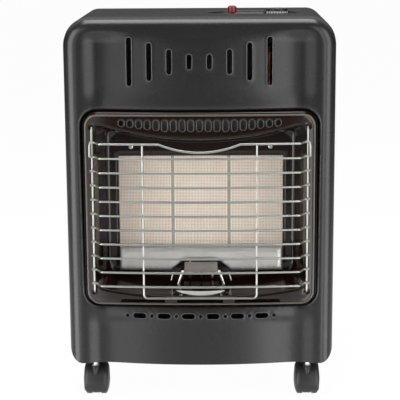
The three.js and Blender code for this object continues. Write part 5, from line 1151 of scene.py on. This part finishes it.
def bezel_recess(mouth):
    """The recess: a rolled lip, walls that draw in, a fillet and a back with the burner's opening."""
    lip_steps, wall_steps, fillet_steps, fillet = 8, 14, 7, 3.5
    rings = []
    edge = [bezel_relief(*at) for at in grown(mouth, MOUTH_LIP)]
    for k in range(lip_steps + 1):
        t = math.pi / 2 * k / lip_steps
        loop = grown(mouth, MOUTH_LIP * (1 - math.sin(t)))
        rings.append([(x, y + MOUTH_LIP * (1 - math.cos(t)), z) for (x, z), y in zip(loop, edge)])
    lip_end = [y for _, y, _ in rings[-1]]
    for k in range(1, wall_steps + 1):
        ring = []
        for (x, z), y in zip(mouth, lip_end):
            depth = y + (RECESS_DEPTH - fillet - y) * (k / wall_steps)
            px, pz = recess_point(x, z, depth / RECESS_DEPTH)
            ring.append((px, depth, pz))
        rings.append(ring)
    base = [recess_point(x, z, 1.0) for x, z in mouth]
    for k in range(1, fillet_steps + 1):
        t = math.pi / 2 * k / fillet_steps
        loop = grown(base, -fillet * (1 - math.cos(t)))
        rings.append([(x, RECESS_DEPTH - fillet * (1 - math.sin(t)), z) for x, z in loop])
    shape = Shape().lofted([ring[::-1] for ring in rings], closed_ends=False)
    corners = [(134.4, 211.1), (134.4, 389.5), (-134.4, 389.5), (-134.4, 211.1)]
    holes = [(evened(softened(corners, 5), 6), [(0, -1.6), (0.8, -0.6), (2, 0)])]
    holes += [(evened(capsule(side * SCREW_X, SCREW_Z, 4.6, 4.6), 1), [(0, 0)]) for side in (-1, 1)]
    outline = [(x, z) for x, _, z in rings[-1]]
    found, heights, triangles = flat_blank([outline], holes, ladder(-140, 140, 8), ladder(186, 404, 8), 2)
    shape.add([(p.x, RECESS_DEPTH - lift, p.y) for p, lift in zip(found, heights)], triangles)
    return new_object("recess", shape.vertices, shape.faces)


def bezel():
    mouth = mouth_loop()
    return thicken(fuse(bezel_face(mouth), bezel_recess(mouth), merge=2e-5), THIN_SHEET, even=False)


def bezel_vents():
    """The row of upright vents over the mouth, short at its ends."""
    last, pitch, top = 9, 13.42, 455
    loops = []
    for i in range(-last, last + 1):
        tall = 10 + 8 * min(1, (last - abs(i)) / 5)
        loops.append(evened(capsule(i * pitch, top - tall / 2, 9, tall), 1.2))
    return loops


def bezel_clips():
    """Four pale strips in a row on the bezel's top roll: painted highlights where light shows through slots
    there.
    """
    clip = Shape().box((-12.6, 12.6), (-7.4, -5.8), (465.6, 467.3)).pattern("clip")
    return rows_of(clip, "bezel_clips", TRIM_AND_GLINTS, (-0.0742, 0, 0), 4, 48.2)


dress(bezel(), ENAMEL, "cabinet", "bezel", slot="enamel", sharp_angle=42)
# The ridge and the vents' rims are beads in the light rim enamel: painted highlights on the bezel.
ridge = evened(rounded_loop(BEZEL_HALF - 4, BEZEL_LOW + 4, 461.8, 19, 18), 4)
for name, loops, radius, stand in (
        ("bezel_vent_rims", bezel_vents(), 0.36, 0.0), ("bezel_ridge", [ridge], 1.7, -0.4)):
    rims = beads(name, loops, radius, stand, bezel_relief, RIM_ENAMEL_HIGHLIGHT)
    dress(rims, None, "cabinet", slot="enamel", sharp_angle=80)
dress(bezel_clips(), None, "cabinet", slot="zinc")
dress(Shape().box((-131, 131), (13, 14), (434, 462)).piece("vent_baffle"), DARK_STEEL, "cabinet", slot="zinc")


# ---------------------------------------------------------------- burner
def plaque(label, x):
    """A perforated ceramic plaque: a plain block behind a face of small round pits."""
    pitch, radius, depth = 2.42, 0.76, 3.2
    columns, rows = 34, 71
    half, low, high = 44.5, 210.3, 390.3
    wide, tall = columns * pitch / 2, rows * pitch / 2
    middle = (low + high) / 2
    s = pitch / 2
    rim = [(s, 0), (s, s), (0, s), (-s, s), (-s, 0), (-s, -s), (0, -s), (s, -s)]
    turns = [math.pi / 4 * i for i in range(8)]
    edge = [(radius * math.cos(turn), radius * math.sin(turn)) for turn in turns]
    vertices = [(a, 0, b) for a, b in rim + edge] + [(0, depth, 0)]
    faces = [[i, (i + 1) % 8, 8 + (i + 1) % 8, 8 + i] for i in range(8)]
    faces += [[8 + i, 8 + (i + 1) % 8, 16] for i in range(8)]
    tile = new_object("tile", vertices, faces, shift=0)
    start = metres(x - wide + s, PLAQUE_FACE, middle - tall + s)
    pits = rows_of(tile, "pits", CERAMIC, start, columns, pitch, rows, pitch)

    def ring(a, y, c, d):
        return [(x - a, y, c), (x + a, y, c), (x + a, y, d), (x - a, y, d)]
    chamfer, back = 0.6, 86
    block = Shape().lofted([
        ring(wide, PLAQUE_FACE, middle - tall, middle + tall),
        ring(half - chamfer, PLAQUE_FACE, low + chamfer, high - chamfer),
        ring(half, PLAQUE_FACE + chamfer, low, high), ring(half, back, low, high)], closed_ends=False)
    count = len(block.vertices)
    block.faces.append([count - 4 + i for i in range(4)])
    face = new_object("plaque_face_" + label, block.vertices, block.faces)
    face_outwards(face)
    dress(fuse(face, pits), CERAMIC, "cabinet", "plaque_" + label, slot="ceramic", sharp_angle=30)


for label, x in (("left", -PLAQUE_PITCH), ("centre", 0), ("right", PLAQUE_PITCH)):
    plaque(label, x)


def plaque_seams():
    """Grey strips in the joints between the plaques; their grey is painted shade of the recessed joints."""
    shape = Shape()
    for x in (-PLAQUE_PITCH / 2, PLAQUE_PITCH / 2):
        shape.box((x - 2.6, x + 2.6), (PLAQUE_FACE - 0.5, PLAQUE_FACE + 0.4), (210.9, 389.7))
    return shape.piece("plaque_seams")


dress(plaque_seams(), JOINT_SHADE, "cabinet", slot="ceramic")


def deflector():
    """A plate before the plaques' feet, notched at its middle, and the folds along its foot."""
    front, half, low, high = 55, 131, 202.7, 240.4
    corners = [(-half, low), (-48.6, low), (-27, 220.3), (27, 220.3), (48.6, low),
               (half, low), (half, high), (-half, high)]
    outline = evened(softened(corners, 2.2, 3), 3)
    rings = [outline, grown(outline, -1.2), grown(outline, -2.6)]
    blank = flat_blank(rings, [], ladder(-half, half, 9), ladder(low, high, 5), 1.5)

    def place(u, v, lift):
        edge = min(math.dist((u, v), point) for point in outline)
        crease = 0.35 * math.exp(-((v - 231) / 3.0) ** 2)
        return (u, front + 1.6 * (1 - smooth(edge / 2.4)) - crease, v)
    face = thicken(pressed("lower_deflector", blank, place), THIN_SHEET)
    folds = Shape()
    for a, b in ((-half + 1, -50), (50, half - 1)):
        folds.box((a, b), (front + 1.4, 69.7), (low, low + THIN_SHEET))
    return face, folds.piece("deflector_fold")


plate, fold = deflector()
dress(plate, STAINLESS, "cabinet", "lower_deflector", slot="stainless", sharp_angle=40)
dress(fold, STAINLESS, "cabinet", slot="stainless")


def pilot_shield():
    """A bent plate on two legs of polished rod."""
    at, half, low, high = 45, 26.5, 201.7, 218
    outline = evened(softened([(-half, low), (half, low), (half, high), (-half, high)], 1.5, 3), 2)
    blank = flat_blank([outline, grown(outline, -1)], [], ladder(-26, 26, 3), ladder(202, 218, 3), 0.9)

    def place(u, v, lift):
        return (u, at + 0.8 * (u / half) ** 2 + 0.7 * smooth((v - 214) / 4), v)
    face = thicken(pressed("pilot_shield", blank, place), THIN_SHEET)
    leg = ((29, 1.6, 203.5), (30.6, 0.4, 200), (32.4, 0, 194), (34.6, 0, 188), (36.6, 0.5, 181.8))
    paths = [[(side * x, at + y, z) for x, y, z in leg] for side in (-1, 1)]
    return face, rods("pilot_shield_legs", paths, 2.4, 4, 12, POLISHED)


def small_legs():
    """Two thin wires outside the shield's legs."""
    leg = ((44.4, 202), (45.4, 198), (47, 193), (48.2, 188))
    return rods("shield_wires", [[(side * x, 46, z) for x, z in leg] for side in (-1, 1)], 1, 4, 10, POLISHED)


def foot_strip():
    """A polished strip on the recess's floor, with pointed ends that turn up."""
    half_length = 38
    rings = []
    for x in ladder(-half_length, half_length, 2):
        share = abs(x) / half_length
        middle, half = 178.3 + 4.6 * share ** 2, 0.3 + 2.9 * (1 - share ** 2.5)
        low, high = middle - half, middle + half
        rings.append([(x, -1.0, low), (x, 0.4, high), (x, 1.4, high - 0.2), (x, 0.2, low)])
    return Shape().lofted(rings).piece("shield_foot_strip")


shield, legs = pilot_shield()
dress(foot_strip(), TRIM_AND_GLINTS, "cabinet", slot="stainless", sharp_angle=60)
dress(small_legs(), None, "cabinet", slot="stainless", sharp_angle=60)
dress(shield, SHIELD_STEEL, "cabinet", "pilot_shield", slot="stainless", sharp_angle=40)
dress(legs, None, "cabinet", slot="stainless", sharp_angle=60)


def screw_heads():
    """Recessed pan heads on the recess's back wall."""
    profile = [(0, 0.3), (3.9, 0.3), (4.0, -0.1), (3.7, -1.1), (2.8, -1.8), (1.6, -2.0), (1.1, -1.2),
               (0, -1.2)]
    head = Shape().turned(profile, "y", (0, 0, 0), 28).pattern("pan_head")
    return rows_of(head, "burner_screw_heads", ZINC, metres(-SCREW_X, 69.4, SCREW_Z), 2, 2 * SCREW_X)


dress(screw_heads(), None, "cabinet", "burner_screw_left", "burner_screw_right", slot="zinc")


# ---------------------------------------------------------------- wire guard
def guard():
    """The level wires, and the rods that carry them: two side rods, two end links and a hoop."""
    top, pitch, end, end_depth, shoulder, reach, bow = 421.1, 22.32, 170, -11.0, 152, 18, 8
    sizes = {
        "Pitch": pitch, "Top": top, "Half_Length": end, "Shoulder": shoulder, "Step": 163,
        "End_Depth": end_depth + SHIFT_Y, "Reach": reach, "Bow": bow, "Dip": 12.4, "Dip_Half": 62,
        "Wire_Radius": 1.72,
    }
    level_wires = new_object("guard_wires", [], [])
    run_tree(level_wires, GUARD_WIRES, Wires=11, Material=CHROME,
             **{key: value * 0.001 for key, value in sizes.items()})
    hoop, hoop_top, hoop_foot = 87.5, 421.9, 178.8
    hoop_y = end_depth - reach - bow * (1 - (hoop / shoulder) ** 2) + WIRE - 0.8
    low, high = GUARD_HOLE_HEIGHTS
    side_rod = ((9.4, high), (-8, high), (-8, low), (9.4, low))
    end_link = ((160, top), (end, top), (end, top - pitch))
    paths = [[(side * GUARD_HOLE_X, y, z) for y, z in side_rod] for side in (-1, 1)]
    paths += [[(side * x, end_depth, z) for x, z in end_link] for side in (-1, 1)]
    paths.append([(x, hoop_y, z) for x, z in (
        (-hoop, hoop_top), (-hoop, hoop_foot), (hoop, hoop_foot), (hoop, hoop_top))])
    return level_wires, rods("guard_rods", paths, 1.6, 6, 12, CHROME)


wires, carriers = guard()
dress(wires, None, "cabinet", "wire_guard", slot="chrome_wire", sharp_angle=50)
dress(carriers, None, "cabinet", slot="chrome_wire", sharp_angle=50)


# ---------------------------------------------------------------- controls
def control_panel():
    """The dished oval insert under the opening in the top."""
    x, y, length, width = DISH
    section = [(7, -1.8), (2, -1.8), (0.3, -2.1), (-0.8, -3.0), (-9.5, -8.6), (-11.5, -9.7),
               (-14, -DISH_DEPTH)]
    rings = []
    for grow, height in section:
        loop = capsule(x, y, length + 2 * grow, width + 2 * grow, 24)
        rings.append([(px, py, CABINET_TOP + height) for px, py in loop])
    shape = Shape().lofted(rings, closed_ends=False)
    outline = [(px, py) for px, py, _ in rings[-1]]
    spindle_hole, button_hole = 8, 15.6
    holes = [(evened(capsule(*KNOB, spindle_hole, spindle_hole), 1.5), [(0, -0.6), (0.8, 0)]),
             (evened(capsule(*BUTTON, button_hole, button_hole), 1.5), [(0, 0)])]
    found, heights, triangles = flat_blank([outline], holes, ladder(30, 145, 8), ladder(140, 205, 8), 2)
    shape.add([(p.x, p.y, CABINET_TOP - DISH_DEPTH + lift) for p, lift in zip(found, heights)], triangles)
    piece = new_object("control_panel", shape.vertices, shape.faces)
    return thicken(fuse(piece, merge=2e-5), SHEET, even=False)


dress(control_panel(), PAINT, "cabinet", "control_panel", slot="paint", sharp_angle=40)


def control_knob():
    """A skirted knob with a ribbed grip."""
    skirt = KNOB_RADIUS
    profile = [(3.95, 606), (22.6, 606), (skirt, 606.5), (skirt, 611.3), (22.3, 611.8), (18.4, 611.9),
               (17.6, 612.0), (16.6, 615.6), (15.6, 616.3), (12, 616.6), (3, 616.5), (0, 616.5), (0, 613.2),
               (3.95, 613.2), (3.95, 606)]
    body = Shape().turned(profile, "z", (*KNOB, 0), 96).piece("control_knob")
    rib = Shape().box((16.2, 17.7), (-0.9, 0.9), (611.7, 615.6)).pattern("rib")
    grip = ring_of(rib, "knob_grip", BLACK_PLASTIC, 24, (*KNOB, 0), (0, 0, 1))
    dress(body, BLACK_PLASTIC, "control_knob", "control_knob", slot="black_plastic", sharp_angle=35)
    dress(grip, None, "control_knob", slot="black_plastic", sharp_angle=35)


control_knob()


def numeral(words, size, angle):
    """A thin raised numeral that stands on the skirt's side, as a plain piece."""
    curve = bpy.data.curves.new("numeral", "FONT")
    curve.body = words
    curve.size = size * 0.001
    curve.extrude = 0.0001
    curve.resolution_u = 3
    curve.align_x = "CENTER"
    curve.align_y = "CENTER"
    holder = bpy.data.objects.new("numeral", curve)
    bpy.context.scene.collection.objects.link(holder)
    mesh = bpy.data.meshes.new_from_object(holder.evaluated_get(bpy.context.evaluated_depsgraph_get()))
    bpy.data.objects.remove(holder)
    place = metres(KNOB[0] + KNOB_RADIUS * math.cos(angle), KNOB[1] + KNOB_RADIUS * math.sin(angle), 609.9)
    turn = Matrix.Rotation(angle + math.pi / 2, 4, "Z") @ Matrix.Rotation(math.pi / 2, 4, "X")
    mesh.transform(Matrix.Translation(place) @ turn)
    return mesh


def dial_marks():
    """Numbers and ticks round the front half of the knob's skirt, and a pointer line on its top."""
    net = bmesh.new()
    first_numeral, numeral_step, first_tick, tick_step = -160, 46.7, -136, 11.5  # degrees
    for i, words in enumerate("0123"):
        mesh = numeral(words, 3.4, math.radians(first_numeral + i * numeral_step))
        net.from_mesh(mesh)
        bpy.data.meshes.remove(mesh)
    ticks = Shape()
    for i in range(9):
        angle = math.radians(first_tick + i * tick_step)
        c, s = math.cos(angle), math.sin(angle)
        ring = [(KNOB[0] + along * c - side * s, KNOB[1] + along * s + side * c)
                for along, side in ((22.6, -1.3), (23.0, -1.3), (23.0, 1.3), (22.6, 1.3))]
        ticks.lofted([[(px, py, z) for px, py in ring] for z in (607.6 + i % 2, 611.2)])
    line = [(KNOB[0] + x, KNOB[1] + y) for x, y in ((-0.6, -15), (0.6, -15), (0.6, -5), (-0.6, -5))]
    ticks.lofted([[(px, py, z) for px, py in line] for z in (616.3, 616.66)])
    marks = ticks.piece("knob_marks")
    net.from_mesh(marks.data)
    net.to_mesh(marks.data)
    net.free()
    return marks


dress(dial_marks(), WHITE_MARKS, "control_knob")


def igniter_button():
    """A red cap with a ribbed side on a plain stem."""
    stem_foot = 581.4
    profile = [(3.8, stem_foot), (3.8, 609), (6.6, 609), (7.2, 609.6), (7.2, 617.6), (6.6, 619.4),
               (5.0, 620.6), (2.5, 620.95), (0, 620.9), (0, stem_foot)]
    cap = Shape().turned(profile, "z", (*BUTTON, 0), 48).piece("igniter_button")
    rib = Shape().box((6.4, 7.6), (-0.5, 0.5), (610, 618.2)).pattern("cap_rib")
    ribs = ring_of(rib, "igniter_cap_ribs", RED_PLASTIC, 14, (*BUTTON, 0), (0, 0, 1), 0.2)
    dress(cap, RED_PLASTIC, "igniter_button", "igniter_button", slot="red_plastic")
    dress(ribs, None, "igniter_button", slot="red_plastic")


igniter_button()


# ---------------------------------------------------------------- casters
def caster_hood(hub):
    """The hood's shell, open at its foot."""
    section = ((-19.0, 22.2), (-18.2, 24.4), (-16, 26.2), (-12, 27.1), (0, 27.4), (12, 27.1), (16, 26.2),
               (18.2, 24.4), (19.0, 22.2))
    steps, past_level = 32, 0.62  # past_level is how far the shell runs down beyond its front, in radians
    row = steps + 1
    vertices = []
    for along, radius in section:
        low = math.asin(4 / radius)
        for i in range(row):
            turn = low + (math.pi - low + past_level) * i / steps
            y, z = radius * math.cos(turn), radius * math.sin(turn)
            vertices.append((hub[0] + along, hub[1] + y, hub[2] + z))
    faces = [[k * row + i, (k + 1) * row + i, (k + 1) * row + i + 1, k * row + i + 1]
             for k in range(len(section) - 1) for i in range(steps)]
    return new_object("hood_shell", vertices, faces)


def caster(label, x, y):
    """Twin domed wheels under a hood, which has a web between them and a tapered boss."""
    body = "caster_" + label
    hub = (x, y + 14, 25)
    outer = [(0, 19.3), (3.2, 19.2), (3.8, 20.6), (9, 20.5), (15, 19.7), (20, 18.2), (23, 16.8), (24.5, 15.6),
             (25, 14.2)]
    inner = [(25, 8.2), (24.4, 7.4), (16, 7.2), (3.4, 7.2), (3.4, 17.6), (0, 17.6)]
    for side, word in ((-1, "left"), (1, "right")):
        name = f"{body}_wheel_{word}"
        profile = [(radius, side * along) for radius, along in outer + inner]
        wheel = Shape().turned(profile, "x", hub, 72).piece(name)
        dress(wheel, CASTER_PLASTIC, name, name, slot="wheel_plastic", sharp_angle=45)
    hood = caster_hood(hub)
    face_outwards(hood, upwards=True)
    thicken(hood, 1.4)
    core = Shape()
    web = [(3.4, -6.2), (23.2, -6.2), (24, -5.4), (24, 5.4), (23.2, 6.2), (3.4, 6.2), (3.4, -6.2)]
    core.turned(web, "x", hub, 48)
    boss = [(52, 4.4, 4.4), (52, 6.7, 9.4), (51.4, 7.1, 10), (46, 6.3, 11), (41, 5.2, 11.6),
            (38.6, 4.2, 10.6), (37, 2, 6), (34, 1, 2)]  # height, half length and half width
    turns = [math.pi * i / 18 for i in range(36)]
    core.lofted([[(x + a * math.cos(t), y + b * math.sin(t), z) for t in turns] for z, a, b in boss])
    fuse(hood, core.piece("hood_core"))
    hood.name = body + "_hood_shell"
    dress(hood, CASTER_PLASTIC, body, body + "_hood", slot="wheel_plastic", sharp_angle=40)


for label, (x, y) in CASTERS.items():
    caster(label, x, y)


# ---------------------------------------------------------------- carried nodes
CARRIED = {
    "bulkhead": DARK_STEEL, "burner_frame": HOT_STEEL, "burner_housing": ALUMINIUM,
    "pilot_bracket": STAINLESS, "pilot_burner": BRASS, "thermocouple": HOT_STEEL,
    "ignition_electrode": WHITE_CERAMIC, "valve_spindle": BRASS, "valve_plug": BRASS,
    "gas_valve": ALUMINIUM, "inlet_nipple": BRASS, "piezo_igniter": BLACK_PLASTIC,
    "main_gas_pipe": COPPER, "pilot_pipe": ALUMINIUM, "ignition_lead": SOFT_LEAD,
    "manifold": BRASS, "injector_left": BRASS, "injector_centre": BRASS, "injector_right": BRASS,
    "tip_switch": BLACK_PLASTIC,
}
for label in CASTERS:
    CARRIED[f"caster_{label}_stem"] = ZINC
    CARRIED[f"caster_{label}_axle"] = ZINC
for name, made in CARRIED.items():
    for holder in frame["nodes"][name].material_slots:
        holder.material = made


# ---------------------------------------------------------------- stage
def camera():
    """The photograph's view, as fitted: the way it looks and where it stands."""
    yaw, pitch, roll = (math.radians(angle) for angle in (-1.041, 11.080, -0.363))
    forward = Vector((math.sin(yaw) * math.cos(pitch), math.cos(yaw) * math.cos(pitch), -math.sin(pitch)))
    level = Vector((math.cos(yaw), -math.sin(yaw), 0))
    upward = level.cross(forward)
    right = level * math.cos(roll) + upward * math.sin(roll)
    upward = upward * math.cos(roll) - level * math.sin(roll)
    focal_pixels, picture_pixels, sensor = 1281.0, 400, 36
    data = bpy.data.cameras.new("camera")
    data.lens = focal_pixels / picture_pixels * sensor
    data.clip_end = 200
    holder = bpy.data.objects.new("camera", data)
    turn = Matrix((right, upward, -forward)).transposed().to_4x4()
    holder.matrix_world = Matrix.Translation((0.0354, -2.16523, 0.7119)) @ turn
    bpy.context.scene.collection.objects.link(holder)
    bpy.context.scene.camera = holder


def seen_ray(bench):
    """Light Path's camera, glossy and transmission rays as one switch."""
    path = bench.node("ShaderNodeLightPath").outputs
    either = bench.math("MAXIMUM", path["Is Camera Ray"], path["Is Glossy Ray"])
    return bench.math("MAXIMUM", either, path["Is Transmission Ray"])


def floor():
    """A pale floor that keeps the shadow and glows white to the camera."""
    data = bpy.data.meshes.new("floor")
    data.from_pydata([(-40, -1.2, 0), (40, -1.2, 0), (40, 60, 0), (-40, 60, 0)], [], [(0, 1, 2, 3)])
    piece = bpy.data.objects.new("floor", data)
    bpy.context.scene.collection.objects.link(piece)
    made = bpy.data.materials.new("pale_floor")
    made.use_nodes = True
    bench = Bench(made.node_tree)
    made.node_tree.nodes.remove(made.node_tree.nodes["Principled BSDF"])
    pale = bench.node("ShaderNodeBsdfDiffuse", {"Color": (0.82, 0.82, 0.82, 1)})
    glow = bench.node("ShaderNodeEmission", {"Color": (1, 1, 1, 1), "Strength": 1.02})
    share = bench.math("MULTIPLY", seen_ray(bench), 0.955)
    blend = bench.node("ShaderNodeMixShader", {0: share, 1: pale, 2: glow})
    bench.feed(made.node_tree.nodes["Material Output"].inputs["Surface"], blend.outputs[0])
    data.materials.append(made)
    piece.visible_glossy = False


def lamp(name, place, target, width, height, power):
    """An oblong area lamp that faces its target, in metres and watts."""
    data = bpy.data.lights.new(name, "AREA")
    data.shape = "RECTANGLE"
    data.size, data.size_y, data.energy = width, height, power
    holder = bpy.data.objects.new(name, data)
    aim = Vector(target) - Vector(place)
    holder.matrix_world = Matrix.Translation(place) @ aim.to_track_quat("-Z", "Y").to_matrix().to_4x4()
    holder.visible_camera = False
    bpy.context.scene.collection.objects.link(holder)


def world():
    """White to the camera, a grey room with a bright back wall to mirrors, and a faint fill to all else."""
    scene = bpy.context.scene
    scene.world = scene.world or bpy.data.worlds.new("studio")
    scene.world.use_nodes = True
    tree = scene.world.node_tree
    tree.nodes.clear()
    bench = Bench(tree)
    path = bench.node("ShaderNodeLightPath").outputs
    looking = bench.node("ShaderNodeTexCoord").outputs["Generated"]
    way = bench.node("ShaderNodeSeparateXYZ", {0: looking}).outputs
    floor_glow = bench.spread(way[2], -0.12, -0.28, 0.0, 0.95)
    behind = bench.spread(way[1], 0.0, 0.7, 0.0, 0.7)
    back_wall = bench.math("MULTIPLY", behind, bench.spread(way[2], 0.15, 0.6, 0.06, 1.0))
    room = bench.math("MAXIMUM", bench.math("MAXIMUM", floor_glow, back_wall), 0.06)
    mirrored = bench.math("MAXIMUM", path["Is Glossy Ray"], path["Is Transmission Ray"])
    seen = bench.math("MAXIMUM", bench.math("MULTIPLY", room, mirrored), path["Is Camera Ray"])
    lit = bench.math("MULTIPLY", bench.math("SUBTRACT", 1.0, mirrored), 0.1)
    strength = bench.math("MAXIMUM", seen, lit)
    sky = bench.node("ShaderNodeBackground", {"Color": (1, 1, 1, 1), "Strength": strength})
    bench.feed(bench.node("ShaderNodeOutputWorld").inputs["Surface"], sky.outputs[0])


camera()
floor()
world()
HEATER_FRONT = (0, -0.15, 0.5)
lamp("left_softbox", (-1.75, -1.35, 0.5), HEATER_FRONT, 1.4, 3.2, 58)
lamp("right_softbox", (1.75, -1.35, 0.5), HEATER_FRONT, 1.2, 3.2, 38)
lamp("left_fill", (-0.86, -2.05, 0.5), HEATER_FRONT, 0.4, 3.2, 5)
lamp("right_fill", (0.86, -2.05, 0.5), HEATER_FRONT, 0.4, 3.2, 13)
lamp("top_softbox", (0, -0.1, 2.2), (0, -0.1, 0.6), 1.6, 1.15, 34)
bpy.context.scene.view_settings.view_transform = "Standard"
